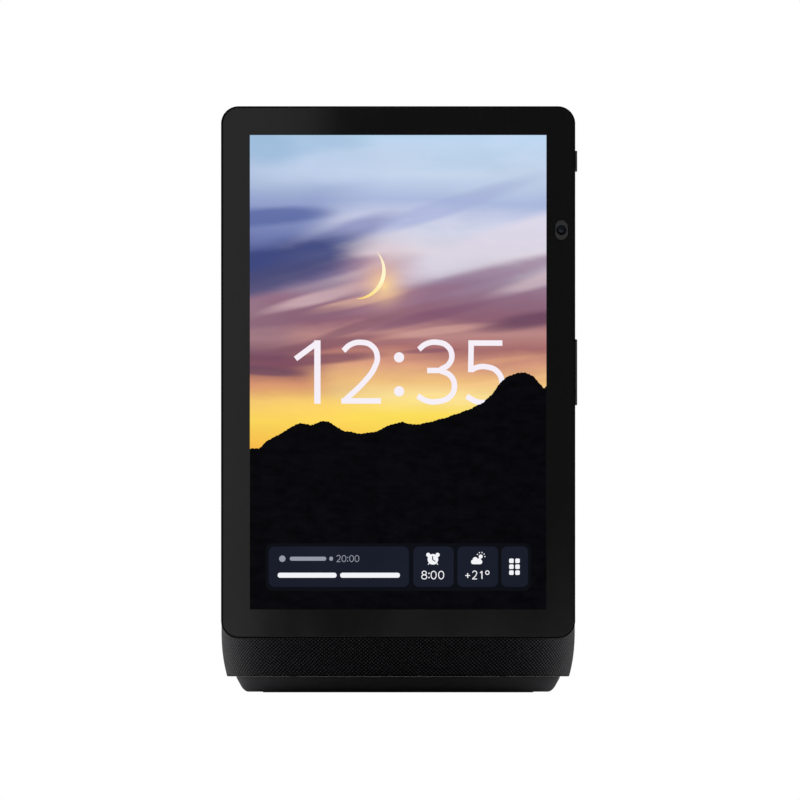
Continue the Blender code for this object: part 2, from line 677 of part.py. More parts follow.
def build_keys(swivel):
    """The mute key slides in, and the volume rocker turns on its middle. Both have a lip inside the frame."""
    middle = (KEY_FRONT + KEY_BACK) / 2
    rocker_axis = joint_empty("rocker_axis", on_front(KEY_PIVOT_X, middle, 0), swivel)
    mute_axis = joint_empty("mute_axis", on_front(SIDE_X, middle, MUTE_Z), swivel)
    for name, centre, half, parent in (
        ("mute_button", MUTE_Z, MUTE_HALF, mute_axis),
        ("volume_rocker", 0, ROCKER_HALF, rocker_axis),
    ):
        low = (LIP_OUT - 0.5 * MM, KEY_FRONT, centre - half)
        high = (SIDE_X + KEY_PROUD, KEY_BACK, centre + half)
        key = head_slab(name, low, high, 1.2 * MM, "key_plastic", parent, along=X_AXIS)
        lip_half = half + 1.2 * MM
        lip_low = (LIP_IN, KEY_FRONT - 1 * MM, centre - lip_half)
        join(key, head_box(f"{name}_lip", lip_low, (LIP_OUT, KEY_BACK + 1 * MM, centre + lip_half)))

    board_in, board_out = SIDE_X - 12.8 * MM, SIDE_X - 11.6 * MM
    low, high = (board_in, 7.4 * MM, -20 * MM), (board_out, 11.4 * MM, MUTE_Z + 10 * MM)
    board = head_box("side_key_board", low, high, "circuit_board", swivel)
    heights = (MUTE_Z, 11 * MM, -11 * MM)
    switch_in, switch_out, plunger_end = (board_out + step * MM for step in (-0.3, 2.4, 3.4))
    half = 1.8 * MM
    corners = [((switch_in, 7.2 * MM, z - half), (switch_out, 10.6 * MM, z + half)) for z in heights]
    depth = 8.1 * MM
    spans = [(on_front(switch_out - GAP, depth, z), on_front(plunger_end, depth, z)) for z in heights]
    switches = head_boxes("key_switches", corners)
    join(board, switches, cylinders("switch_plungers", 0.8 * MM, spans))


def frame_block(name, margin, near, far, corner, coat=None, parent=None):
    """A rounded block of the head's outline, a margin in from its sides."""
    half_width, half_height = SIDE_X - margin, HEAD_HEIGHT / 2 - margin
    low, high = (-half_width, near, -half_height), (half_width, far, half_height)
    return head_slab(name, low, high, corner, coat, parent, steps=6)


def build_frame(swivel):
    """The rim round the glass: a ledge that carries it, with room for the keys, shutter and camera."""
    beyond = FRAME_BACK + GAP
    frame = frame_block("head_frame", 0, 0.15 * MM, FRAME_BACK, HEAD_CORNER, "black_plastic", swivel)
    seat_margin, hollow_margin = 0.35 * MM, 2.4 * MM
    seat_back = LEDGE_FRONT - 0.1 * MM
    cut(frame, frame_block("glass_seat", seat_margin, -GAP, seat_back, HEAD_CORNER - seat_margin))
    cut(frame, frame_block("frame_opening", 7 * MM, 0, beyond, 3 * MM))
    cut(frame, frame_block("frame_hollow", hollow_margin, LEDGE_BACK, beyond, HEAD_CORNER - hollow_margin))
    through = SIDE_X + 2 * MM
    for name, centre, half, clear in (
        ("mute", MUTE_Z, MUTE_HALF, 0.3 * MM),
        ("rocker", 0, ROCKER_HALF, 0.6 * MM),
    ):
        slot_half, pocket_half = half + clear, half + 1.9 * MM
        low = (LIP_IN - 1 * MM, KEY_FRONT - 0.3 * MM, centre - slot_half)
        slot = head_box(f"{name}_slot", low, (through, KEY_BACK + 0.3 * MM, centre + slot_half))
        low = (LIP_IN - 1 * MM, KEY_FRONT - 1.5 * MM, centre - pocket_half)
        pocket = head_box(f"{name}_pocket", low, (LIP_OUT + 0.7 * MM, beyond, centre + pocket_half))
        cut(frame, slot, pocket)
    low_z = SHUTTER_Z - SHUTTER_TRAVEL
    for name, x_low, x_high, front, back, clear in (
        ("camera_pocket", CAMERA_X - 5 * MM, PORT_WALL_X, 0.7 * MM, beyond, 8 * MM),
        ("tab_slot", PORT_WALL_X - 1 * MM, through, 4.9 * MM, 6.9 * MM, 2.7 * MM),
        ("tab_recess", SIDE_X - 1 * MM, through, 4.2 * MM, 7.7 * MM, 3.8 * MM),
    ):
        cut(frame, head_box(name, (x_low, front, low_z - clear), (x_high, back, SHUTTER_Z + clear)))
    top, reach, depth = HEAD_HEIGHT / 2, 4 * MM, 7.8 * MM
    ports = [(on_front(x, depth, top - reach), on_front(x, depth, top + reach)) for x in MICROPHONE_X]
    cut(frame, cylinders("microphone_ports", 0.6 * MM, ports, sides=8))


def build_mid_plate(swivel):
    """The aluminium plate behind the panel, notched round the keys and the camera."""
    half_width, half_height = 77.8 * MM, 118.4 * MM
    low = (-half_width, MID_PLATE_FRONT, -half_height)
    high = (half_width, MID_PLATE_BACK, half_height)
    plate = head_slab("mid_plate", low, high, 4 * MM, "aluminium", swivel)
    before, beyond = MID_PLATE_FRONT - 1 * MM, MID_PLATE_BACK + 1 * MM
    for name, x_low, x_high, centre, half in (
        ("mute_notch", SIDE_X - 14 * MM, SIDE_X, MUTE_Z, 8 * MM),
        ("rocker_notch", SIDE_X - 14 * MM, SIDE_X, 0, 19 * MM),
        ("camera_notch", SIDE_X - 14 * MM, SIDE_X, CAMERA_Z + 3 * MM, 15 * MM),
        ("ribbon_slot", RIBBON_X - 10 * MM, RIBBON_X + 10 * MM, RIBBON_LOW, 2 * MM),
    ):
        cut(plate, head_box(name, (x_low, before, centre - half), (x_high, beyond, centre + half)))


def build_head_boards(swivel):
    board_front, board_back = 8.6 * MM, 9.8 * MM
    low, high = (-58 * MM, board_front, 38 * MM), (46 * MM, board_back, 104 * MM)
    board = head_slab("main_board", low, high, 2 * MM, "circuit_board", swivel, steps=2)
    front, back, size = board_back - 0.2 * MM, board_back + 1.2 * MM, 10 * MM
    spots = [(x * MM, z * MM) for x in (-54, 34) for z in (60, 78)]
    chips = [((x, front, z), (x + size, back, z + size)) for x, z in spots]
    join(board, head_boxes("board_chips", chips))
    low = (-30 * MM, board_back + 0.3 * MM, 52 * MM)
    high = (10 * MM, board_back + 2.3 * MM, 88 * MM)
    head_slab("processor_shield", low, high, 1.5 * MM, "steel", swivel, steps=2)
    low, high = (-44 * MM, 12.5 * MM, 44 * MM), (32 * MM, 13.3 * MM, 98 * MM)
    spreader = head_box("heat_spreader", low, high, "aluminium", swivel)
    middles = [(-40 + 8 * i) * MM for i in range(9)]
    half = 0.5 * MM
    fins = [((x - half, 13 * MM, 46 * MM), (x + half, 15.8 * MM, 96 * MM)) for x in middles]
    join(spreader, head_boxes("spreader_fins", fins))

    half_width = 41 * MM
    low, high = (-half_width, 7.2 * MM, 108 * MM), (half_width, 8.4 * MM, 116.5 * MM)
    head_slab("microphone_board", low, high, 2 * MM, "circuit_board", swivel, steps=2)


def build_ribbons(swivel):
    """The panel's ribbon comes through a slot in the mid plate and runs up to the board."""
    thick, half_width = 0.3 * MM, 9 * MM
    front = MID_PLATE_BACK + GAP
    low_x, high_x = RIBBON_X - half_width, RIBBON_X + half_width
    low, high = (low_x, front, RIBBON_LOW - 0.5 * MM), (high_x, front + thick, 43 * MM)
    ribbon = head_box("panel_ribbon", low, high, "cable_sheath", swivel)
    turn_low = (low_x, MID_PLATE_FRONT, RIBBON_LOW - 0.5 * MM)
    join(ribbon, head_box("ribbon_turn", turn_low, (high_x, front + thick, RIBBON_LOW)))
    half_width = 4 * MM
    low, high = (-half_width, 7.4 * MM, -3 * MM), (half_width, 8.2 * MM, 43 * MM)
    head_box("head_cable", low, high, "cable_sheath", swivel)


def build_rear_cover(swivel):
    """An open-fronted box with a deeply rounded back, thickened inwards, with a hole for the hub."""
    half_width, half_height, back = SIDE_X, HEAD_HEIGHT / 2, HEAD_DEPTH
    bm = bmesh.new()
    low = on_front(-half_width, FRAME_BACK + GAP, -half_height)
    add_box(bm, low, on_front(half_width, back, half_height))
    bevel(bm, edges_along(bm, Y_AXIS), HEAD_CORNER, 5)
    back_y = on_front(0, back, 0).y
    back_edges = [e for e in bm.edges if all(abs(v.co.y - back_y) < 0.001 * MM for v in e.verts)]
    bevel(bm, back_edges, 7 * MM, 4)
    front_face = min(bm.faces, key=lambda face: face.calc_center_median().y)
    bmesh.ops.delete(bm, geom=[front_face], context="FACES")
    cover = solid(bm, "head_rear_cover", "black_plastic", on_front(0, back, 0), swivel)
    shell(cover, 1.8 * MM)
    cut(cover, head_disc("hub_hole", SHOULDER_RADIUS + 0.5 * MM, back - 6 * MM, back + 3 * MM))


# Speaker drivers
def build_basket(name, spec, direction):
    """The basket with its magnet, which has a well for the cone's coil."""
    radius, depth = spec["radius"], spec["depth"]
    rim, floor = 3 * MM, 2 * MM
    well, magnet = radius * 0.3, radius * 0.5
    profile = [
        (0, -depth - floor), (well, -depth - floor), (well, -depth), (radius * 0.48, -depth),
        (radius * RIM_INNER, -rim), (radius * RIM_INNER, 0), (radius, 0), (radius, -rim),
        (radius * 0.9, -rim - 0.2 * MM), (radius * 0.54, -depth), (radius * 0.54, -depth - floor),
        (magnet, -depth - floor), (magnet, -depth - floor - well), (0, -depth - floor - well),
    ]
    turned(name, profile, driver_centre(spec, direction), direction, "magnet_ferrite")


def build_cone(name, spec, direction, coil=True):
    """A dished cone with a dust cap and, on a driven one, the coil former behind it."""
    radius, depth = spec["radius"], spec["depth"]
    edge, inner = radius * CONE_EDGE, radius * 0.26
    middle, thick = -depth * 0.5, 0.9 * MM
    back = middle - 1.5 * thick
    profile = [
        (0, middle + radius * 0.09), (inner * 0.6, middle + radius * 0.06), (inner, middle),
        (edge, -1.5 * MM), (edge, -1.5 * MM - thick), (inner + thick, back),
    ]
    if coil:
        end = -depth + 1 * MM
        profile += [(inner, back), (inner, end), (inner - thick, end), (inner - thick, back)]
    profile.append((0, back))
    turned(name, profile, driver_centre(spec, direction), direction, "cone_paper")


def build_surround(name, spec, direction, flange=False):
    """A half roll of rubber between the cone's edge and the rim, or with a flange as its own rim."""
    inner = spec["radius"] * CONE_EDGE + 0.5 * MM
    outer = spec["radius"] * RIM_INNER - 0.5 * MM
    middle, roll = (inner + outer) / 2, (outer - inner) / 2
    skin, low = 0.7 * MM, -2 * MM
    turns = [math.pi * i / 4 for i in range(5)]
    over = [(middle - roll * math.cos(turn), low + roll * math.sin(turn)) for turn in turns]
    under = [
        (middle + (roll - skin) * math.cos(turn), low + (roll - skin) * math.sin(turn)) for turn in turns
    ]
    if flange:
        radius, back = spec["radius"], low - 1.2 * MM
        over += [(radius, low), (radius, back), (middle + roll - skin, back)]
    centre = driver_centre(spec, direction)
    turned(name, over + under, centre, direction, "surround_rubber", ring=True)


def build_drivers():
    for prefix, spec, direction in (
        ("woofer", WOOFER, Y_AXIS),
        ("right", SIDE_DRIVER, X_AXIS),
        ("left", SIDE_DRIVER, -X_AXIS),
    ):
        build_basket(f"{prefix}_basket", spec, direction)
        build_cone(f"{prefix}_cone", spec, direction)
        build_surround(f"{prefix}_surround", spec, direction)
    build_cone("radiator_cone", RADIATOR, -Y_AXIS, coil=False)
    build_surround("radiator_surround", RADIATOR, -Y_AXIS, flange=True)
    outline = (
        (0, 2.6), (3, 2.3), (6, 1.2), (8, 0), (13.5, 0), (13.5, -2), (9, -2), (9, -14), (0, -14),
    )
    profile = [(radius * MM, height * MM) for radius, height in outline]
    for name, (centre, direction) in zip(("left_tweeter", "right_tweeter"), tweeter_places()):
        turned(name, profile, centre, direction, "magnet_ferrite", sides=20)


# Electronics in the base
def build_amplifier():
    board_low, board_high = AMPLIFIER_TOP - 1.6 * MM, AMPLIFIER_TOP
    low, high = (-44 * MM, -30 * MM, board_low), (44 * MM, 26 * MM, board_high)
    board = slab("amplifier_board", low, high, 3 * MM, "circuit_board", along=Z_AXIS)
    spots = [(x * MM, y * MM) for x in (10, 24, 38) for y in (-22, -8)]
    low, high = board_high - 0.3 * MM, board_high + 12 * MM
    join(board, upright_pins("amplifier_capacitors", 5 * MM, spots, low, high))
    sink_low, sink_high = -40 * MM, -8 * MM
    low = (sink_low, -27 * MM, board_high + 0.3 * MM)
    high = (sink_high, -3 * MM, board_high + 2 * MM)
    heat_sink = box("amplifier_heat_sink", low, high, "aluminium")
    middles = [(-25 + 4 * i) * MM for i in range(6)]
    fin_low, fin_high, half = board_high + 1.5 * MM, board_high + 10 * MM, 0.6 * MM
    fins = [((sink_low, y - half, fin_low), (sink_high, y + half, fin_high)) for y in middles]
    join(heat_sink, boxes("heat_sink_fins", fins))


def build_power_socket(cabinet, fabric):
    half_width, half_height, clear = 8 * MM, 6 * MM, 0.3 * MM
    front, back = 45.5 * MM, 55 * MM
    low, high = (-half_width, front, JACK_Z - half_height), (half_width, back, JACK_Z + half_height)
    bezel = slab("jack_bezel", low, high, 4 * MM, "black_plastic")
    cut(bezel, cylinder("bezel_bore", 5.3 * MM, (0, front - GAP, JACK_Z), (0, back + GAP, JACK_Z)))
    half_width, half_height = half_width + clear, half_height + clear
    low = (-half_width, front - 2 * MM, JACK_Z - half_height)
    high = (half_width, back + 5 * MM, JACK_Z + half_height)
    pocket = slab("jack_pocket", low, high, 4 * MM + clear)
    for piece in (cabinet, fabric):
        cut(piece, pocket)
    body, bore, pin = 4.9 * MM, 3.2 * MM, 1 * MM
    floor, tip, mouth = 2 * MM, 7 * MM, 12.4 * MM
    profile = [
        (0, tip), (pin, tip), (pin, floor), (bore, floor), (bore, mouth), (body, mouth), (body, 0), (0, 0),
    ]
    turned("power_jack", profile, (0, 42 * MM, JACK_Z), Y_AXIS, "steel")


def build_hub_cables(tilt):
    """One lead in two nodes, because it bends where the hub tilts: up the neck, then forward in the stub."""
    neck_route = ((28.2, 106), (38.2, 112), (41.2, 119), (41.2, 128), (41.2, 137.4))
    hub_route = ((41.2, 137.9), (42, 141.4), (45.2, 145), (50.7, 146.4), (67, 146.4), (71.8, 146.4))
    for name, route, parent in (("neck_cable", neck_route, None), ("hub_cable", hub_route, tilt)):
        points = [(0, -ahead * MM, height * MM) for ahead, height in route]
        cable(name, points, CABLE_RADIUS, "cable_sheath", parent)


def build_base():
    build_foot()
    cabinet = build_cabinet()
    fabric = build_fabric()
    build_top_cap()
    build_drivers()
    build_amplifier()
    build_power_socket(cabinet, fabric)
    build_neck(cabinet)


def build_head(swivel):
    build_glass_and_panel(swivel)
    build_camera(swivel)
    build_shutter(swivel)
    build_keys(swivel)
    build_mid_plate(swivel)
    build_frame(swivel)
    build_head_boards(swivel)
    build_ribbons(swivel)
    build_swivel_plate(swivel)
    build_rear_cover(swivel)


def build_display():
    build_base()
    tilt = joint_empty("tilt_axis", TILT_POINT)
    build_hub(tilt)
    build_hub_cables(tilt)
    build_head(joint_empty("swivel_axis", (0, HEAD_BACK_Y, HEAD_Z), tilt))


build_display()
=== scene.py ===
import math

import bmesh
import bpy
from mathutils import Matrix, Vector


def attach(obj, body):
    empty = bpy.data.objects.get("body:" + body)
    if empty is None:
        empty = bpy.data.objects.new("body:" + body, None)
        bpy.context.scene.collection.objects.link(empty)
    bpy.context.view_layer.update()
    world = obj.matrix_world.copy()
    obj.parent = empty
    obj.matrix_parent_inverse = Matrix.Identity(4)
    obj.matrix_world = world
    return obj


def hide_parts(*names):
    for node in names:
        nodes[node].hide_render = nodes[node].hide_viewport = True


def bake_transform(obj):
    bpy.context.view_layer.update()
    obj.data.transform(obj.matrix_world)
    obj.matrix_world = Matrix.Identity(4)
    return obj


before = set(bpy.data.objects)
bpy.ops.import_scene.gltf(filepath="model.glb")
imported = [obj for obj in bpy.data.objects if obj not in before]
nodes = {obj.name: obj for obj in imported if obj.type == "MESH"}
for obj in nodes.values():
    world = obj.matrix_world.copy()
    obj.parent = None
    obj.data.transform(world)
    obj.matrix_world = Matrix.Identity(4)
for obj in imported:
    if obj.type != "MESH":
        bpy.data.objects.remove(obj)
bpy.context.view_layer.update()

mm = 0.001
print("frame loaded")

# the head in millimetres: its front is ahead of the foot's middle, its middle is above the ground
head = dict(front=-81.0, middle=146.38, halfWidth=81.0, halfHeight=121.68, corner=8.0)
# the body in metres from the middle of the foot; the tucks are how far the skin leans in at its ends
body = dict(
    halfWidth=80.8 * mm, halfDepth=55 * mm, roundness=3.6, sides=240,
    bottom=7.3 * mm, top=121 * mm, waistLow=28 * mm, waistHigh=60 * mm,
    tuckBottom=2.6 * mm, tuckTop=3.6 * mm,
)
tilt = dict(y=-33 * mm, z=146.38 * mm)  # the tilt pin's axis


# shaping helpers
def block(low, high):
    mesh = bmesh.new()
    low, high = Vector(low), Vector(high)
    place = Matrix.Translation((low + high) / 2) @ Matrix.Diagonal((*(high - low), 1))
    bmesh.ops.create_cube(mesh, size=1, matrix=place)
    return mesh


def roundEdges(mesh, edges, width, segments):
    bmesh.ops.bevel(
        mesh, geom=edges, offset=width, offset_type="OFFSET", segments=segments,
        profile=0.5, affect="EDGES", material=-1, clamp_overlap=True,
    )


def runsAlong(edge, axis):
    line = edge.verts[1].co - edge.verts[0].co
    return abs(line[axis]) > 0.99 * line.length


def roundedBlock(low, high, axis, corner, segments=12, lowRim=0.0, highRim=0.0, rimSegments=5):
    mesh = block(low, high)  # round corners about the axis, then eased edges at its two ends
    roundEdges(mesh, [e for e in mesh.edges if runsAlong(e, axis)], corner, segments)
    for level, rim in ((low[axis], lowRim), (high[axis], highRim)):
        if rim:
            edges = [e for e in mesh.edges if all(abs(v.co[axis] - level) < 1e-7 for v in e.verts)]
            roundEdges(mesh, edges, rim, rimSegments)
    return mesh


def rod(radius, start, end, sides=96, rim=0.0):
    mesh = bmesh.new()
    start, end = Vector(start), Vector(end)
    turn = Vector((0, 0, 1)).rotation_difference(end - start).to_matrix().to_4x4()
    bmesh.ops.create_cone(
        mesh, cap_ends=True, segments=sides, radius1=radius, radius2=radius,
        depth=(end - start).length, matrix=Matrix.Translation((start + end) / 2) @ turn,
    )
    if rim:
        caps = [f for f in mesh.faces if len(f.verts) == sides]
        roundEdges(mesh, [e for f in caps for e in f.edges], rim, 4)
    return mesh


def spun(profile, place, direction):
    mesh = bmesh.new()
    points = [mesh.verts.new((radius * mm, 0, height * mm)) for radius, height in profile]
    lines = [mesh.edges.new(pair) for pair in zip(points, points[1:])]
    bmesh.ops.spin(
        mesh, geom=points + lines, cent=(0, 0, 0), axis=(0, 0, 1),
        angle=2 * math.pi, steps=96, use_merge=True,
    )
    bmesh.ops.remove_doubles(mesh, verts=mesh.verts, dist=1e-7)
    bmesh.ops.recalc_face_normals(mesh, faces=mesh.faces)
    turn = Vector((0, 0, 1)).rotation_difference(Vector(direction)).to_matrix().to_4x4()
    bmesh.ops.transform(mesh, matrix=Matrix.Translation(place) @ turn, verts=mesh.verts)
    return mesh


def ovalPoint(angle, inset, height):
    power = 2 / body["roundness"]
    x, y = math.cos(angle), math.sin(angle)
    return Vector((
        math.copysign(abs(x) ** power, x) * (body["halfWidth"] - inset),
        math.copysign(abs(y) ** power, y) * (body["halfDepth"] - inset),
        height,
    ))


def barrel(levels, ring=False):
    mesh = bmesh.new()  # each level is an inset and a height; a ring joins its last level to its first
    made = bmesh.ops.create_circle(mesh, segments=body["sides"], radius=1, cap_ends=False)["verts"]
    angles = [math.atan2(v.co.y, v.co.x) for v in made]
    for vert, angle in zip(made, angles):
        vert.co = ovalPoint(angle, *levels[0])
    first = edges = list(mesh.edges)
    inset = levels[0][0]
    for nextInset, nextHeight in levels[1:]:
        grown = bmesh.ops.extrude_edge_only(mesh, edges=edges)["geom"]
        edges = [g for g in grown if isinstance(g, bmesh.types.BMEdge)]
        for vert in (g for g in grown if isinstance(g, bmesh.types.BMVert)):
            vert.co.x *= (body["halfWidth"] - nextInset) / (body["halfWidth"] - inset)
            vert.co.y *= (body["halfDepth"] - nextInset) / (body["halfDepth"] - inset)
            vert.co.z = nextHeight
        inset = nextInset
    if ring:
        bmesh.ops.bridge_loops(mesh, edges=first + edges)
    else:
        bmesh.ops.contextual_create(mesh, geom=first)
        bmesh.ops.contextual_create(mesh, geom=edges)
    bmesh.ops.recalc_face_normals(mesh, faces=mesh.faces)
    return mesh


def skinInset(height):
    if height < body["waistLow"]:
        share = (body["waistLow"] - height) / (body["waistLow"] - body["bottom"])
        return body["tuckBottom"] * share**2.2
    if height > body["waistHigh"]:
        share = (height - body["waistHigh"]) / (body["top"] - body["waistHigh"])
        return body["tuckTop"] * share**2
    return 0.0


def shown(name, data):
    made = bpy.data.objects.new(name, data)
    bpy.context.scene.collection.objects.link(made)
    return made


def holder(mesh, name):
    data = bpy.data.meshes.new(name)
    mesh.to_mesh(data)
    mesh.free()
    return shown(name, data)


def settledMesh(thing):
    bpy.context.view_layer.update()
    return bpy.data.meshes.new_from_object(thing.evaluated_get(bpy.context.evaluated_depsgraph_get()))


def combined(mesh, others, operation="DIFFERENCE"):
    target = holder(mesh, "target")
    cutters = [holder(other, "cutter") for other in others]
    for cutter in cutters:
        step = target.modifiers.new("step", "BOOLEAN")
        step.operation, step.solver, step.object = operation, "EXACT", cutter
    result = settledMesh(target)
    made = bmesh.new()
    made.from_mesh(result)
    for leftover in (target, *cutters):
        bpy.data.meshes.remove(leftover.data)
    bpy.data.meshes.remove(result)
    bmesh.ops.remove_doubles(made, verts=made.verts, dist=1e-7)
    bmesh.ops.dissolve_degenerate(made, edges=made.edges, dist=1e-7)
    return made


def curveMesh(name, lines, radius, rounding, steps):
    curve = bpy.data.curves.new(name, "CURVE")  # each line is (smooth, points)
    curve.dimensions = "3D"
    curve.bevel_depth, curve.bevel_resolution, curve.resolution_u = radius, rounding, steps
    curve.use_fill_caps = True
    for smooth, points in lines:
        spline = curve.splines.new("BEZIER")
        spline.bezier_points.add(len(points) - 1)
        for knot, point in zip(spline.bezier_points, points):
            knot.co = point
            knot.handle_left_type = knot.handle_right_type = "AUTO" if smooth else "VECTOR"
    data = settledMesh(shown(name, curve))
    bpy.data.curves.remove(curve)
    return data


def onFront(x, depth, z):  # from the middle of the head's front, in millimetres
    return Vector((x, head["front"] + depth, head["middle"] + z)) * mm


def headBlock(low, high):
    return block(onFront(*low), onFront(*high))


def finishPiece(piece, bodyName, slotName, replaced="", edge=0.0, angle=35, coat=None, weighted=True):
    data = piece.data
    data.materials.clear()
    data.materials.append(coat or finishes[slotName])
    data.shade_smooth()
    data.set_sharp_from_angle(angle=math.radians(angle))
    if edge:
        soft = piece.modifiers.new("softEdges", "BEVEL")
        soft.width, soft.segments, soft.limit_method = edge * mm, 3, "ANGLE"
        soft.angle_limit, soft.profile, soft.harden_normals = math.radians(angle), 0.5, True
        soft.use_clamp_overlap = True
    if weighted:
        piece.modifiers.new("flatNormals", "WEIGHTED_NORMAL").keep_sharp = True
    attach(piece, bodyName)
    if replaced:
        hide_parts(replaced)
    return piece


def newPiece(name, mesh, bodyName, slotName, replaced="", edge=0.0, angle=35, coat=None):
    return finishPiece(holder(mesh, name), bodyName, slotName, replaced, edge, angle, coat)


def softened(name, nodeName, bodyName, slotName, edge, angle=50):
    mesh = bmesh.new()  # the CAD node's own shape with eased edges
    mesh.from_mesh(nodes[nodeName].data)
    for layer in list(mesh.loops.layers.uv):
        mesh.loops.layers.uv.remove(layer)
    bmesh.ops.remove_doubles(mesh, verts=mesh.verts, dist=1e-6)
    bmesh.ops.dissolve_limit(
        mesh, angle_limit=math.radians(1), verts=mesh.verts, edges=mesh.edges,
        use_dissolve_boundaries=False,
    )
    newPiece(name, mesh, bodyName, slotName, nodeName, edge, angle)


# node helpers
def tone(*screen):  # a colour as a screen shows it, 0 to 255, made linear
    return tuple(((c / 255 + 0.055) / 1.055) ** 2.4 if c > 10 else c / 255 / 12.92 for c in screen) + (1,)


def shade(color, share, lift=0.0):
    return tuple(min(1, c * share + lift) for c in color[:3]) + (1,)


def node(coat, kind, inputs=None, **settings):
    made = coat.node_tree.nodes.new(kind)
    for name, value in settings.items():
        setattr(made, name, value)
    for key, value in (inputs or {}).items():
        if isinstance(value, bpy.types.Node):
            value = value.outputs[0]
        if isinstance(value, bpy.types.NodeSocket):
            coat.node_tree.links.new(value, made.inputs[key])
        else:
            made.inputs[key].default_value = value
    return made


def calc(coat, operation, first, second=0.0, third=0.0):
    return node(coat, "ShaderNodeMath", {0: first, 1: second, 2: third}, operation=operation)


def mixTones(coat, share, first, second):
    return node(coat, "ShaderNodeMix", {0: share, 6: first, 7: second}, data_type="RGBA").outputs[2]


def spread(coat, value, low, high, fromLow=0.0, fromHigh=1.0, kind="LINEAR"):
    inputs = {0: value, 1: fromLow, 2: fromHigh, 3: low, 4: high}
    return node(coat, "ShaderNodeMapRange", inputs, interpolation_type=kind)


def mapped(coat, place, move=(0, 0, 0), turn=0.0, stretch=(1, 1, 1)):
    return node(coat, "ShaderNodeMapping", {0: place, 1: move, 2: (0, turn, 0), 3: stretch})


def ramp(coat, value, stops):
    made = node(coat, "ShaderNodeValToRGB", {0: value})
    band = made.color_ramp
    while len(band.elements) < len(stops):
        band.elements.new(0.5)
    for element, (place, color) in zip(band.elements, stops):
        element.position = place
        element.color = color
    return made


def coatBase(name, color, roughness, metallic=0.0, specular=0.5, **sockets):
    coat = bpy.data.materials.new(name)
    coat.use_nodes = True
    shader = coat.node_tree.nodes["Principled BSDF"]
    sockets |= {"Base Color": (*color[:3], 1), "Roughness": roughness, "Metallic": metallic}
    sockets["Specular IOR Level"] = specular
    for key, value in sockets.items():
        shader.inputs[key].default_value = value
    coat.diffuse_color = (*color[:3], 1)
    place = node(coat, "ShaderNodeTexCoord").outputs["Object"]
    return coat, shader, place


def join(coat, output, shader, socket):
    if isinstance(output, bpy.types.Node):
        output = output.outputs[0]
    coat.node_tree.links.new(output, shader.inputs[socket])


def relief(coat, shader, height, strength, depth):
    bump = node(coat, "ShaderNodeBump", {"Height": height, "Strength": strength, "Distance": depth * mm})
    join(coat, bump, shader, "Normal")


def noise(coat, place, size, detail=2.0, rough=0.5, stretch=None):
    if stretch:
        place = mapped(coat, place, stretch=stretch)
    return node(
        coat, "ShaderNodeTexNoise",
        {"Vector": place, "Scale": 1 / (size * mm), "Detail": detail, "Roughness": rough},
    )


# moulded or blasted surface: fine grain, with slow changes of gloss and tone; sizes in millimetres
def grained(name, color, roughness, size=0.25, depth=0.02, vary=0.06, patch=14, specular=0.5):
    coat, shader, place = coatBase(name, color, roughness, specular=specular)
    grain = noise(coat, place, size, 3)
    slow = noise(coat, place, patch, 2)
    tones = mixTones(coat, slow, shade(color, 0.94), shade(color, 1.08, 0.0004))
    join(coat, tones, shader, "Base Color")
    gloss = spread(coat, slow, roughness - vary / 2, roughness + vary / 2, 0.3, 0.7)
    join(coat, gloss, shader, "Roughness")
    relief(coat, shader, grain, 0.35, depth)
    return coat


def brushed(name, color, roughness, stretch):
    coat, shader, place = coatBase(name, color, roughness, 1.0)
    lines = noise(coat, place, 0.9, 4, 0.6, stretch)
    slow = noise(coat, place, 9, 2)
    join(coat, mixTones(coat, lines, shade(color, 0.8), shade(color, 1)), shader, "Base Color")
    mixed = calc(coat, "MULTIPLY_ADD", lines, 0.5, calc(coat, "MULTIPLY", slow, 0.5))
    join(coat, spread(coat, mixed, roughness - 0.1, roughness + 0.12, 0.3, 0.7), shader, "Roughness")
    relief(coat, shader, lines, 0.2, 0.01)
    return coat


def circuitCoat():  # solder mask over copper runs, with bare pads
    coat, shader, place = coatBase("circuitBoard", (0.012, 0.06, 0.035), 0.35)
    runs = node(
        coat, "ShaderNodeTexBrick",
        {"Vector": place, "Color1": (0.010, 0.055, 0.030, 1), "Color2": (0.018, 0.085, 0.048, 1),
         "Mortar": (0.03, 0.14, 0.075, 1), "Scale": 90.0, "Mortar Size": 0.018,
         "Brick Width": 0.9, "Row Height": 0.16},
    )
    cells = node(coat, "ShaderNodeTexVoronoi", {"Vector": place, "Scale": 420.0})
    pads = calc(coat, "LESS_THAN", cells.outputs["Distance"], 0.16)
    join(coat, mixTones(coat, pads, runs, (0.62, 0.55, 0.38, 1)), shader, "Base Color")
    join(coat, calc(coat, "MULTIPLY", pads, 0.8), shader, "Metallic")
    relief(coat, shader, runs.outputs[1], 0.3, 0.03)
    return coat


def paperCoat():  # pressed pulp with short fibres
    coat, shader, place = coatBase("conePaper", (0.02, 0.02, 0.02), 0.8)
    fibres = noise(coat, place, 0.5, 5, 0.7, (1.0, 1.0, 3.0))
    tones = ramp(coat, fibres, [(0.35, (0.008, 0.008, 0.009, 1)), (0.7, (0.05, 0.05, 0.048, 1))])
    join(coat, tones, shader, "Base Color")
    relief(coat, shader, fibres, 0.5, 0.08)
    return coat


weave = dict(  # the repeat in millimetres, and the tones from the holes to the raised threads
    across=1.893, along=1.586, holes=tone(1, 1, 2), threads=tone(30, 29, 33), pale=tone(88, 85, 91),
)


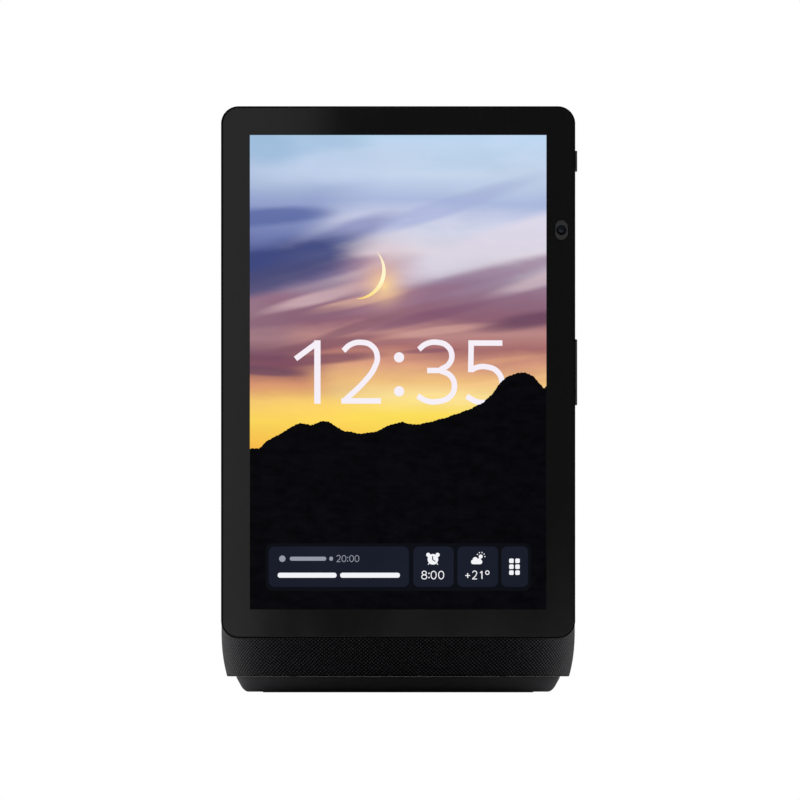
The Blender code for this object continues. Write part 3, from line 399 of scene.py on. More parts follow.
def fabricCoat():  # a diagonal weave that follows the sleeve's own map, in metres
    coat, shader, _ = coatBase(
        "speakerFabric", weave["threads"], 0.85, specular=0.2,
        **{"Sheen Weight": 0.2, "Sheen Roughness": 0.4},
    )
    sleeveMap = node(coat, "ShaderNodeTexCoord").outputs["UV"]
    split = node(coat, "ShaderNodeSeparateXYZ", {0: sleeveMap})
    across = calc(coat, "MULTIPLY", split.outputs[0], 2 * math.pi / (weave["across"] * mm))
    along = calc(coat, "MULTIPLY", split.outputs[1], 2 * math.pi / (weave["along"] * mm))
    rising = calc(coat, "ADD", across, along)
    falling = calc(coat, "SUBTRACT", across, along)
    over = calc(
        coat, "MULTIPLY",
        calc(coat, "COSINE", calc(coat, "MULTIPLY", rising, 0.5)),
        calc(coat, "COSINE", calc(coat, "MULTIPLY", falling, 0.5)),
    )
    heights = []
    for wave, side in ((rising, 0.4), (falling, -0.4)):
        crown = calc(coat, "MULTIPLY_ADD", calc(coat, "COSINE", wave), 0.5, 0.5)
        heights.append(calc(coat, "MULTIPLY", crown, calc(coat, "MULTIPLY_ADD", over, side, 0.6)))
    fuzz = node(coat, "ShaderNodeTexNoise", {"Vector": sleeveMap, "Scale": 700.0, "Detail": 3.0})
    worn = calc(coat, "ADD", calc(coat, "MAXIMUM", *heights), calc(coat, "MULTIPLY_ADD", fuzz, 0.24, -0.12))
    colors = ramp(coat, worn, [(0.38, weave["holes"]), (0.6, weave["threads"]), (0.92, weave["pale"])])
    # painted shade: the cloth darkens to the tone of its holes along its lowest millimetre, where it tucks
    # into the foot
    hem = spread(coat, split.outputs[1], 0, 1, body["bottom"] + 0.2 * mm, body["bottom"] + 1 * mm)
    join(coat, mixTones(coat, hem, weave["holes"], colors), shader, "Base Color")
    relief(coat, shader, worn, 1.0, 0.3)
    return coat


def glassCoat():  # black-backed cover glass with a trace of wiping
    coat, shader, place = coatBase("coverGlassBlack", tone(18, 18, 18), 0.1)
    wiping = noise(coat, place, 35, 4, 0.6, (1.0, 1.0, 0.35))
    join(coat, spread(coat, wiping, 0.06, 0.1, 0.35, 0.65), shader, "Roughness")
    join(coat, mixTones(coat, wiping, tone(17, 17, 17), tone(20, 20, 20)), shader, "Base Color")
    return coat


camera = dict(
    x=74.65, z=65.0, halfWidth=2.75, halfHeight=4.5, trimFront=0.1, trimBack=1.2,
    windowRadius=2.3, lensRadius=2.5, lensFront=2.9,
)


def lensCoat():  # coated lens: rings of blue round a dark pupil, painted reflections of its coated glass with a painted highlight in the middle
    coat, shader, place = coatBase("lensGlass", (0.002, 0.002, 0.004), 0.12, specular=0.3)
    centre = onFront(camera["x"], 0, camera["z"])
    centred = mapped(coat, place, (-centre.x, 0, -centre.z), stretch=(1, 0, 1))
    far = node(coat, "ShaderNodeVectorMath", {0: centred}, operation="LENGTH").outputs["Value"]
    share = calc(coat, "DIVIDE", far, camera["lensRadius"] * mm)
    paintedReflectionRings = ramp(coat, share, [
        (0.0, tone(44, 66, 94)), (0.14, tone(36, 56, 84)), (0.24, tone(28, 32, 40)),
        (0.42, tone(58, 68, 82)), (0.5, tone(36, 40, 48)), (0.68, tone(62, 70, 80)),
        (0.8, tone(44, 47, 53)), (1.0, tone(54, 58, 62)),
    ])
    join(coat, paintedReflectionRings, shader, "Base Color")
    return coat


finishes = {
    "black_glass": glassCoat(),
    "screen_panel": grained("screenPanel", (0.03, 0.035, 0.05), 0.3, 0.5, 0.005, 0.05, 20),
    "white_plastic": grained("reflectorPlastic", (0.75, 0.75, 0.73), 0.4, 0.4, 0.02, 0.08, 12),
    "black_plastic": grained("satinPlastic", tone(25, 25, 26), 0.42, 0.22, 0.02, 0.06, 16, 0.3),
    "key_plastic": grained("keyPlastic", tone(76, 76, 77), 0.45, 0.18, 0.015, 0.05, 5),
    "trim_plastic": grained("trimPlastic", tone(64, 64, 65), 0.45, 0.18, 0.012, 0.05, 4, 0.3),
    "lens_glass": lensCoat(),
    "speaker_fabric": fabricCoat(),
    "foot_rubber": grained("footRubber", (0.022, 0.022, 0.022), 0.85, 0.5, 0.05, 0.08, 10),
    "cabinet_plastic": grained("cabinetPlastic", (0.02, 0.02, 0.021), 0.6, 0.4, 0.03, 0.08, 18),
    "steel": brushed("steelFinish", (0.55, 0.55, 0.54), 0.3, (0.15, 3.0, 3.0)),
    "aluminium": brushed("aluminiumFinish", (0.8, 0.8, 0.81), 0.35, (3.0, 3.0, 0.15)),
    "painted_metal": grained("powderCoat", tone(33, 33, 34), 0.48, 0.45, 0.04, 0.08, 9),
    "circuit_board": circuitCoat(),
    "chip_plastic": grained("chipPlastic", (0.015, 0.015, 0.016), 0.55, 0.15, 0.01, 0.05, 3),
    "cone_paper": paperCoat(),
    "surround_rubber": grained("surroundRubber", (0.018, 0.018, 0.018), 0.6, 0.35, 0.02, 0.1, 8),
    "magnet_ferrite": grained("ferrite", (0.045, 0.043, 0.042), 0.65, 0.3, 0.03, 0.1, 6),
    "cable_sheath": grained("cableSheath", (0.016, 0.016, 0.017), 0.5, 0.2, 0.01, 0.06, 5),
    "washer_plastic": grained("washerPlastic", (0.55, 0.54, 0.5), 0.45, 0.3, 0.01, 0.06, 5),
}
for part in nodes.values():
    for place in part.material_slots:
        place.material = finishes[place.material.name.split(".")[0]]
print("finishes made")

# the lit picture, in millimetres across and down from its top left corner
picture = dict(left=-67.8, top=108.48, width=135.6, height=216.96, recess=0.15)
layers = dict(  # where each layer starts and ends behind the head's front
    sky=(0.12, 0.15), clock=(0.09, 0.11), ridge=(0.06, 0.08), dock=(0.048, 0.055), tiles=(0.035, 0.042),
    signs=(0.02, 0.028), numbers=(0.012, 0.02), hands=(0.01, 0.016),
)
sky = dict(
    wander=0.035, waver=0.03,
    streaks=dict(scale=1.6, detail=5.0, rough=0.55, warp=0.35, turn=-0.22, stretch=(1.2, 1, 8)),
    broad=dict(scale=1.5, detail=2.0, rough=0.5, warp=0.0, turn=-0.2, stretch=(1.3, 1, 4.5)),
    # tones from the top down, at the left and at the right: share of the height, red, green, blue
    left=[
        (0.0, 170, 199, 228), (0.08, 179, 197, 226), (0.15, 143, 157, 201), (0.2, 112, 123, 176),
        (0.26, 70, 77, 134), (0.3, 78, 78, 124), (0.345, 160, 133, 150), (0.385, 146, 112, 127),
        (0.42, 162, 122, 131), (0.465, 115, 76, 95), (0.495, 135, 86, 96), (0.53, 215, 150, 112),
        (0.56, 246, 202, 112), (0.6, 252, 215, 92), (0.67, 244, 180, 70),
    ],
    right=[
        (0.0, 181, 210, 235), (0.08, 197, 213, 236), (0.14, 170, 184, 220), (0.2, 208, 210, 229),
        (0.25, 219, 211, 222), (0.31, 160, 140, 162), (0.345, 148, 113, 135), (0.385, 141, 97, 116),
        (0.42, 186, 136, 134), (0.45, 168, 110, 110), (0.485, 216, 156, 128), (0.52, 238, 190, 127),
        (0.55, 248, 221, 148), (0.59, 250, 221, 90), (0.67, 247, 200, 74),
    ],
    # soft clouds: centre across and down (shares), half length, half height, rise, colour, weight
    clouds=[
        (0.03, 0.020, 0.20, 0.050, -0.10, (150, 184, 216), 0.55),
        (0.34, 0.060, 0.40, 0.050, 0.10, (196, 212, 237), 0.60),
        (0.66, 0.152, 0.44, 0.026, 0.20, (166, 177, 217), 0.70),
        (0.06, 0.172, 0.28, 0.026, 0.04, (88, 103, 162), 0.80),
        (0.32, 0.206, 0.23, 0.032, 0.20, (134, 141, 190), 0.80),
        (0.84, 0.232, 0.54, 0.048, 0.20, (219, 213, 228), 0.85),
        (0.11, 0.264, 0.38, 0.056, 0.14, (62, 72, 126), 0.95),
        (0.25, 0.290, 0.24, 0.024, 0.16, (114, 98, 144), 0.75),
        (0.06, 0.306, 0.38, 0.038, 0.14, (74, 76, 120), 0.85),
        (1.00, 0.303, 0.26, 0.020, 0.18, (206, 184, 194), 0.75),
        (0.76, 0.305, 0.46, 0.028, 0.16, (150, 122, 150), 0.75),
        (0.52, 0.345, 0.34, 0.020, 0.14, (146, 108, 130), 0.70),
        (0.27, 0.336, 0.28, 0.018, 0.16, (206, 174, 180), 0.80),
        (0.36, 0.352, 0.22, 0.014, 0.14, (216, 174, 154), 0.70),
        (0.14, 0.385, 0.30, 0.018, 0.10, (138, 100, 120), 0.70),
        (0.60, 0.382, 0.30, 0.016, 0.14, (128, 86, 112), 0.70),
        (0.36, 0.405, 0.22, 0.014, 0.20, (134, 92, 108), 0.70),
        (0.97, 0.388, 0.26, 0.024, 0.10, (108, 72, 96), 0.85),
        (0.64, 0.412, 0.22, 0.012, 0.08, (204, 156, 148), 0.70),
        (0.22, 0.444, 0.28, 0.016, 0.10, (132, 86, 102), 0.75),
        (0.50, 0.436, 0.16, 0.008, 0.04, (160, 110, 116), 0.55),
        (0.22, 0.474, 0.28, 0.016, 0.05, (124, 78, 96), 0.80),
        (0.60, 0.455, 0.13, 0.007, 0.03, (132, 84, 104), 0.60),
        (0.03, 0.496, 0.20, 0.014, -0.05, (112, 76, 94), 0.85),
        (0.80, 0.480, 0.26, 0.010, 0.08, (222, 164, 128), 0.50),
        (0.86, 0.520, 0.26, 0.010, 0.08, (246, 200, 140), 0.50),
        (0.72, 0.560, 0.26, 0.012, 0.02, (250, 226, 150), 0.40),
    ],
    # light round the moon: centre across and down, reach, colour, weight
    glows=[
        (0.44, 0.300, 0.20, (218, 162, 152), 0.75),
        (0.452, 0.318, 0.10, (255, 216, 150), 0.90),
    ],
)


def pictureSpot(across, down, depth):
    return onFront(picture["left"] + across, depth, picture["top"] - down)


def pictureCoat(name, color):
    return coatBase(
        name, (0.0, 0.0, 0.0), 0.3, specular=0.04, **{"Emission Color": color, "Emission Strength": 1.0},
    )


def skyNoise(coat, place, values):
    turned = mapped(coat, place, turn=values["turn"], stretch=values["stretch"])
    return node(
        coat, "ShaderNodeTexNoise",
        {"Vector": turned, "Scale": values["scale"], "Detail": values["detail"],
         "Roughness": values["rough"], "Distortion": values["warp"]},
    )


def skyCoat():
    coat, shader, place = pictureCoat("skyPicture", tone(170, 199, 228))
    corner = onFront(picture["left"], 0, picture["top"])
    moved = mapped(coat, place, tuple(-corner))
    shares = mapped(coat, moved, stretch=(1 / (picture["width"] * mm), 1, -1 / (picture["height"] * mm)))
    split = node(coat, "ShaderNodeSeparateXYZ", {0: shares})
    across, down = split.outputs[0], split.outputs[2]
    streaks = skyNoise(coat, shares, sky["streaks"])
    broad = skyNoise(coat, shares, sky["broad"])
    shift = calc(coat, "MULTIPLY", calc(coat, "MULTIPLY_ADD", broad, 2.0, -1.0), sky["wander"])
    waver = calc(coat, "MULTIPLY", calc(coat, "MULTIPLY_ADD", streaks, 2.0, -1.0), sky["waver"])
    calm = spread(coat, down, 1.0, 0.25, 0.42, 0.6)  # the horizon is calmer
    height = calc(coat, "MULTIPLY_ADD", calc(coat, "ADD", shift, waver), calm, down)

    # the border between the left and the right tones moves right towards the top and the horizon
    bend = calc(coat, "ABSOLUTE", calc(coat, "SUBTRACT", down, 0.34))
    lean = calc(coat, "MINIMUM", calc(coat, "MULTIPLY_ADD", bend, 1.6, -0.24), 0.12)
    border = calc(coat, "MULTIPLY_ADD", broad, 0.3, calc(coat, "SUBTRACT", across, lean))
    side = spread(coat, border, 0.0, 1.0, 0.25, 0.52, "SMOOTHSTEP")
    stops = [[(place, tone(*screen)) for place, *screen in sky[key]] for key in ("left", "right")]
    color = mixTones(coat, side, *(ramp(coat, height, column) for column in stops))

    for x, y, halfLong, halfHigh, rise, cloudColor, weight in sky["clouds"]:
        near = mapped(coat, shares, (-x, 0, -y))
        turned = mapped(coat, near, turn=-rise)
        squeezed = mapped(coat, turned, stretch=(1 / halfLong, 0, 1 / halfHigh))
        ball = node(coat, "ShaderNodeTexGradient", {0: squeezed}, gradient_type="SPHERICAL")
        torn = calc(coat, "MULTIPLY", ball.outputs[1], calc(coat, "MULTIPLY_ADD", streaks, 1.9, 0.05))
        share = spread(coat, torn, 0.0, weight, 0.0, 0.62, "SMOOTHSTEP")
        color = mixTones(coat, share, color, tone(*cloudColor))
    light = spread(coat, streaks, 0.94, 1.06, 0.3, 0.7)
    color = node(coat, "ShaderNodeVectorMath", {0: color, "Scale": light}, operation="SCALE").outputs[0]
    for x, y, reach, glowColor, weight in sky["glows"]:
        near = mapped(coat, shares, (-x, 0, -y))
        squeezed = mapped(coat, near, stretch=(1 / reach, 0, 1.6 / reach))
        glow = node(coat, "ShaderNodeTexGradient", {0: squeezed}, gradient_type="QUADRATIC_SPHERE")
        color = mixTones(coat, calc(coat, "MULTIPLY", glow.outputs[1], weight), color, tone(*glowColor))
    join(coat, color, shader, "Emission Color")
    return coat


# flat shapes, drawn standing up before placePicture puts them into the head
def flatFace(mesh, points):
    return mesh.faces.new([mesh.verts.new((x, 0, -y)) for x, y in points])


def flatTile(mesh, left, top, right, bottom, corner):
    face = flatFace(mesh, [(left, top), (right, top), (right, bottom), (left, bottom)])
    bmesh.ops.bevel(
        mesh, geom=list(face.verts), offset=corner, offset_type="OFFSET", segments=6,
        profile=0.5, affect="VERTICES", material=-1, clamp_overlap=True,
    )


def flatDisc(mesh, across, down, radius, sides=40):
    place = Matrix.Translation((across, 0, -down)) @ Matrix.Rotation(math.pi / 2, 4, "X")
    bmesh.ops.create_circle(mesh, cap_ends=True, segments=sides, radius=radius, matrix=place)


def placePicture(name, mesh, coat, layer):
    for face in mesh.faces:
        face.normal_update()
        if face.normal.y > 0:
            face.normal_flip()
    flat = list(mesh.faces)
    made = bmesh.ops.extrude_face_region(mesh, geom=flat)["geom"]
    for vert in (g for g in made if isinstance(g, bmesh.types.BMVert)):
        vert.co.y = -1
    bmesh.ops.delete(mesh, geom=[f for f in flat if f.is_valid], context="FACES_ONLY")
    front, back = layers[layer]
    for vert in mesh.verts:
        depth = front if vert.co.y < -0.5 else back
        vert.co = pictureSpot(vert.co.x, -vert.co.z, depth)
    bmesh.ops.recalc_face_normals(mesh, faces=mesh.faces)
    newPiece(name, mesh, "display", "screen_panel", coat=coat)


def strokes(name, lines, width, coat, layer):  # round strokes pressed flat
    standing = [(smooth, [(across, 0, -down) for across, down in points]) for smooth, points in lines]
    data = curveMesh(name, standing, width / 2, 1, 10)
    front, back = layers[layer]
    middle, half = (front + back) / 2, (back - front) / 2
    for vert in data.vertices:
        share = max(-1, min(1, vert.co.y / (width / 2)))
        vert.co = pictureSpot(vert.co.x, -vert.co.z, middle + share * half)
    finishPiece(shown(name, data), "display", "screen_panel", coat=coat, weighted=False)


def buildSky():
    mesh = bmesh.new()
    width, height = picture["width"], picture["height"]
    flatFace(mesh, [(0, 0), (width, 0), (width, height), (0, height)])
    placePicture("skyPicture", mesh, skyCoat(), "sky")


clock = dict(
    stroke=2.88, dotAcross=68.22, dotsDown=(101.66, 117.17), dotRadius=2.33,
    digits=[  # smooth or straight, and the points
        (False, [(30.87, 93.87), (30.87, 122.85)]),
        (False, [(20.87, 102.34), (30.62, 95.11)]),
        (True, [(42.75, 98.63), (46.0, 95.84), (50.8, 94.79), (55.84, 96.44), (58.27, 101.29),
                (56.94, 106.42), (53.09, 111.91), (43.3, 121.43)]),
        (False, [(41.79, 121.57), (59.91, 121.57)]),
        (True, [(77.26, 97.99), (80.56, 95.52), (85.32, 94.74), (90.26, 96.44), (92.36, 100.74),
                (90.99, 104.77), (87.19, 107.24)]),
        (False, [(81.06, 107.65), (88.34, 107.65)]),
        (True, [(87.19, 107.79), (91.63, 109.99), (93.55, 114.47), (91.72, 119.41), (85.59, 121.89),
                (80.56, 121.43), (76.71, 119.32)]),
        (False, [(99.92, 95.11), (115.48, 95.11)]),
        (False, [(101.24, 93.87), (100.97, 108.43)]),
        (True, [(101.33, 107.42), (103.9, 106.23), (108.02, 105.96), (113.05, 108.06), (115.34, 113.1),
                (114.15, 118.59), (109.39, 121.79), (104.36, 122.07), (99.05, 119.51)]),
    ],
)


def buildClock():
    coat, _, _ = pictureCoat("digitWhite", tone(246, 239, 248))
    strokes("clockDigits", clock["digits"], clock["stroke"], coat, "clock")
    mesh = bmesh.new()
    for down in clock["dotsDown"]:
        flatDisc(mesh, clock["dotAcross"], down, clock["dotRadius"])
    placePicture("clockDots", mesh, coat, "clock")


moon = dict(
    upperTip=(57.85, 53.14), lowerTip=(48.33, 74.93), outerBulge=8.7, innerBulge=6.87, steps=28,
)


def buildMoon():  # a crescent between two arcs
    coat, shader, place = pictureCoat("moonLight", tone(255, 244, 214))
    height = node(coat, "ShaderNodeSeparateXYZ", {0: place}).outputs[2]
    low, high = (pictureSpot(0, moon[tip][1], 0).z for tip in ("lowerTip", "upperTip"))
    tones = [(0.0, tone(255, 222, 118)), (0.4, tone(255, 248, 206)), (1.0, tone(255, 236, 200))]
    join(coat, ramp(coat, spread(coat, height, 0, 1, low, high), tones), shader, "Emission Color")
    upper, lower = Vector(moon["upperTip"]), Vector(moon["lowerTip"])
    chord = lower - upper
    along = chord.normalized()
    side = Vector((along.y, -along.x))

    def arc(bulge):
        radius = (chord.length**2 / 4 + bulge**2) / (2 * bulge)
        centre = (upper + lower) / 2 + side * (bulge - radius)
        reach = math.asin(chord.length / 2 / radius)
        turns = [reach * (2 * i / moon["steps"] - 1) for i in range(moon["steps"] + 1)]
        return [tuple(centre + (side * math.cos(t) + along * math.sin(t)) * radius) for t in turns]

    mesh = bmesh.new()
    flatFace(mesh, arc(moon["outerBulge"]) + arc(moon["innerBulge"])[-2:0:-1])
    placePicture("moonCrescent", mesh, coat, "clock")


# the grain is the step along the tree tops, which rise and fall in waves: height, then radians a millimetre
ridge = dict(
    grain=0.5035, coarse=(0.252, 5.025, 1.551), fine=(0.137, 11.143),
    crest=[
        (0.458, 143.49), (4.58, 143.03), (7.55, 139.83), (13.27, 137.08), (18.77, 133.42),
        (23.34, 131.59), (27.92, 132.73), (32.77, 130.67), (36.16, 130.95), (39.36, 133.42),
        (43.02, 135.25), (51.26, 136.62), (57.21, 135.71), (64.54, 132.37), (70.03, 130.86),
        (71.4, 131.91), (77.81, 132.28), (88.79, 129.48), (100.05, 125.55), (106.64, 122.3),
        (110.76, 118.54), (113.97, 113.74), (117.63, 110.53), (122.48, 108.57), (125.73, 108.57),
        (129.99, 110.53), (134.56, 116.03), (135.6, 114.65),
    ],
)


def buildRidge():
    crest = []
    (coarse, quick, slow), (fine, fast) = ridge["coarse"], ridge["fine"]
    for (x1, y1), (x2, y2) in zip(ridge["crest"], ridge["crest"][1:]):
        steps = max(2, int((x2 - x1) / ridge["grain"]))
        for i in range(steps):
            x = x1 + (x2 - x1) * i / steps
            y = y1 + (y2 - y1) * i / steps
            y += coarse * math.sin(x * quick) * math.sin(x * slow + 1) + fine * math.sin(x * fast)
            crest.append((x, y))
    crest[0] = (0.0, crest[0][1])
    width, height = picture["width"], picture["height"]
    crest += [(width, ridge["crest"][-1][1]), (width, height), (0, height)]
    coat, shader, place = pictureCoat("ridgeShade", tone(5, 7, 11))
    patches = noise(coat, place, 6, 5, 0.6, (1.0, 1.0, 2.0))
    join(coat, ramp(coat, patches, [(0.3, tone(2, 2, 4)), (0.7, tone(9, 9, 14))]), shader, "Emission Color")
    mesh = bmesh.new()
    flatFace(mesh, crest)
    placePicture("mountainRidge", mesh, coat, "ridge")


# dock: four tiles on a faint backdrop, with plain signs; a box is left, top, right and bottom
dock = dict(
    backdrop=(7.32, 186.7, 128.43, 208.39), backdropCorner=2.98,
    tilesTop=188.16, tilesBottom=206.61, tileCorner=2.56,
    tileSides=[(8.65, 72.73), (74.74, 93.19), (94.88, 113.51), (114.97, 127.19)],
    bars=[(12.72, 200.15, 39.64, 202.44), (41.28, 200.15, 68.61, 202.44)], barCorner=1.053,
    gridAcross=(119.6, 122.39), gridDown=(194.71, 197.41, 200.11), gridHalf=1.03, gridCorner=0.503,
    alarm=dict(across=83.71, down=194.02, radius=2.43, bellOut=2.15, bellDown=191.96, bellRadius=0.961),
    hands=[(False, [(83.58, 192.55), (83.58, 194.2)]), (False, [(83.58, 194.2), (84.86, 195.03)])],
    handWidth=0.503,
    cloud=(101.15, 194.11, 106.28, 196.26), cloudCorner=1.053,
    # two puffs of the cloud, then the sun
    puffs=[(103.07, 194.11, 1.144), (104.86, 194.48, 0.961), (105.55, 192.74, 0.915)],
    smallBars=[(18.26, 192.83, 34.88, 194.66, 0.824), (36.34, 192.83, 37.99, 194.66, 0.687)],
    spot=(14.83, 193.74, 1.465),
)
# strokes of the small numerals, in shares of their width and height
numerals = {
    "0": [(True, [(0.5, 0.0), (0.88, 0.16), (1.0, 0.5), (0.88, 0.84), (0.5, 1.0), (0.12, 0.84), (0.0, 0.5),
                  (0.12, 0.16), (0.5, 0.0)])],
    "1": [(False, [(0.75, 0.0), (0.75, 1.0)]), (False, [(0.1, 0.25), (0.75, 0.03)])],
    "2": [(True, [(0.03, 0.2), (0.4, 0.0), (0.9, 0.14), (0.85, 0.45), (0.05, 1.0)]),
          (False, [(0.0, 1.0), (1.0, 1.0)])],
    "8": [
        (True, [(0.5, 0.0), (0.88, 0.1), (0.88, 0.36), (0.5, 0.47), (0.12, 0.36), (0.12, 0.1), (0.5, 0.0)]),
        (True, [(0.5, 0.47), (0.97, 0.6), (0.97, 0.88), (0.5, 1.0), (0.03, 0.88), (0.03, 0.6), (0.5, 0.47)]),
    ],
}
signs = dict(  # numeral, left and width; then what is common to each row
    tiles=[
        ("8", 78.68, 2.11), ("0", 82.89, 2.29), ("0", 86.32, 2.29), ("2", 101.7, 2.15), ("1", 105.09, 1.373),
    ],
    tilesTop=199.37, tilesHigh=3.62, tilesStroke=0.481, colon=(81.93, 200.43, 202.35, 0.343),
    hour=[("2", 39.64, 1.785), ("0", 42.11, 1.785), ("0", 45.59, 1.785), ("0", 48.06, 1.785)],
    hourTop=192.19, hourHigh=2.93, hourStroke=0.343, hourColon=(44.67, 193.15, 194.8, 0.275),
    plus=[(False, [(98.5, 201.43), (100.69, 201.43)]), (False, [(99.6, 200.34), (99.6, 202.53)])],
    degree=(108.61, 200.11, 0.824),
    feet=dict(down=(195.71, 196.44), out=(1.648, 2.2)),
    rays=dict(count=5, across=105.64, down=192.69, reach=(1.556, 2.11), start=-150, step=38),
)


def buildDock():
    coat, _, _ = pictureCoat("dockShade", tone(10, 13, 19))
    mesh = bmesh.new()
    flatTile(mesh, *dock["backdrop"], dock["backdropCorner"])
    placePicture("dockBackdrop", mesh, coat, "dock")
    coat, shader, place = pictureCoat("tileShade", tone(24, 28, 42))
    fade = noise(coat, place, 30, 1)
    join(coat, mixTones(coat, fade, tone(21, 25, 38), tone(28, 32, 46)), shader, "Emission Color")
    mesh = bmesh.new()
    for left, right in dock["tileSides"]:
        flatTile(mesh, left, dock["tilesTop"], right, dock["tilesBottom"], dock["tileCorner"])
    placePicture("dockTiles", mesh, coat, "tiles")


def buildSigns(ink, grey):
    mesh = bmesh.new()
    for bar in dock["bars"]:  # plain bars stand for words
        flatTile(mesh, *bar, dock["barCorner"])
    half, alarm = dock["gridHalf"], dock["alarm"]
    for across in dock["gridAcross"]:
        for down in dock["gridDown"]:
            flatTile(mesh, across - half, down - half, across + half, down + half, dock["gridCorner"])
    flatDisc(mesh, alarm["across"], alarm["down"], alarm["radius"])
    for side in (-1, 1):
        flatDisc(mesh, alarm["across"] + side * alarm["bellOut"], alarm["bellDown"], alarm["bellRadius"], 20)
    flatTile(mesh, *dock["cloud"], dock["cloudCorner"])
    for puff in dock["puffs"]:
        flatDisc(mesh, *puff, 28)
    placePicture("tileSigns", mesh, ink, "signs")
    mesh = bmesh.new()
    for bar in dock["smallBars"]:
        flatTile(mesh, *bar)
    flatDisc(mesh, *dock["spot"], 24)
    placePicture("tileBars", mesh, grey, "signs")
    coat, _, _ = pictureCoat("clockHands", tone(24, 28, 42))
    strokes("alarmHands", dock["hands"], dock["handWidth"], coat, "hands")


def numberRow(row, top, high):
    return [
        (smooth, [(left + x * wide, top + y * high) for x, y in points])
        for sign, left, wide in row for smooth, points in numerals[sign]
    ]


def buildColon(name, colon, coat):
    across, upper, lower, radius = colon
    mesh = bmesh.new()
    for down in (upper, lower):
        flatDisc(mesh, across, down, radius, 16)
    placePicture(name, mesh, coat, "numbers")


def buildNumbers(ink, grey):
    lines = numberRow(signs["tiles"], signs["tilesTop"], signs["tilesHigh"]) + signs["plus"]
    across, down, radius = signs["degree"]  # a small ring
    turns = [math.pi / 4 * i for i in range(9)]
    lines.append((True, [(across + radius * math.cos(t), down + radius * math.sin(t)) for t in turns]))
    feet, rays = signs["feet"], signs["rays"]
    for side in (-1, 1):  # feet of the alarm clock
        places = [dock["alarm"]["across"] + side * out for out in feet["out"]]
        lines.append((False, list(zip(places, feet["down"]))))
    for i in range(rays["count"]):  # rays of the sun
        angle = math.radians(rays["start"] + rays["step"] * i)
        x, y = math.cos(angle), math.sin(angle)
        lines.append((False, [(rays["across"] + r * x, rays["down"] + r * y) for r in rays["reach"]]))
    strokes("tileNumbers", lines, signs["tilesStroke"], ink, "numbers")
    buildColon("tileColon", signs["colon"], ink)
    lines = numberRow(signs["hour"], signs["hourTop"], signs["hourHigh"])
    strokes("tileHour", lines, signs["hourStroke"], grey, "numbers")
    buildColon("hourColon", signs["hourColon"], grey)


inkCoat, _, _ = pictureCoat("tileInk", tone(243, 244, 248))
greyCoat, _, _ = pictureCoat("tileGrey", tone(150, 154, 166))
buildSky()
buildClock()
buildMoon()
buildRidge()
buildDock()
buildSigns(inkCoat, greyCoat)
buildNumbers(inkCoat, greyCoat)
print("picture made")


# head: glass, rim, back, keys, camera; depths are behind the head's front
glass = dict(halfWidth=80.3, halfHeight=120.98, thick=1.1, corner=7.3, rim=0.3, pillGap=0.25)
rim = dict(
    front=0.15, back=9.0, seat=0.35, seatDepth=1.3, opening=7.0, hollow=2.4, hollowFrom=5.4, edge=0.18,
)
rear = dict(front=9.04, back=19.0, edge=7.0, wall=1.8, cutFrom=8.0, holeRadius=16.1)
keys = dict(  # a key is its middle above the head's middle, and half its length
    mute=(96.5, 4.8), rocker=(0.0, 15.1), front=4.9, back=7.7, proud=0.9, corner=1.2, soft=0.35,
    lipIn=73.8, lipOut=75.2, lipMore=1.2, openCorner=1.4, openMore=0.3, roomFront=1.5, roomMore=1.9,
)
shutter = dict(
    z=72.0, travel=7.0, wall=79.2, bay=dict(inside=69.65, front=0.7, more=8),
    slot=dict(front=4.9, back=6.9, more=2.7), dish=dict(inside=80, front=4.2, back=7.7, more=3.8, corner=1.2),
)
ports = dict(across=(-35, 35), depth=7.8, radius=0.6, low=117.68, high=125.68)  # for the microphones
outside = 83  # past the head's side


def pill(grow, front, back, segments=16):
    halfWidth, halfHeight = camera["halfWidth"] + grow, camera["halfHeight"] + grow
    low = onFront(camera["x"] - halfWidth, front, camera["z"] - halfHeight)
    high = onFront(camera["x"] + halfWidth, back, camera["z"] + halfHeight)
    return roundedBlock(low, high, 1, halfWidth * 0.999 * mm, segments)


def outline(margin, front, back, corner, backRim=0.0):
    halfWidth, halfHeight = head["halfWidth"] - margin, head["halfHeight"] - margin
    low, high = onFront(-halfWidth, front, -halfHeight), onFront(halfWidth, back, halfHeight)
    return roundedBlock(low, high, 1, corner * mm, 24, highRim=backRim * mm, rimSegments=14)


def buildGlass():
    low = onFront(-glass["halfWidth"], 0, -glass["halfHeight"])
    high = onFront(glass["halfWidth"], glass["thick"], glass["halfHeight"])
    mesh = roundedBlock(low, high, 1, glass["corner"] * mm, 24, lowRim=glass["rim"] * mm)
    right, top = -picture["left"], picture["top"]
    window = headBlock((-right, -1, -top), (right, picture["recess"], top))
    mesh = combined(mesh, [pill(glass["pillGap"], -1, 2), window])
    newPiece("coverGlass", mesh, "display", "black_glass", "cover_glass", angle=30)


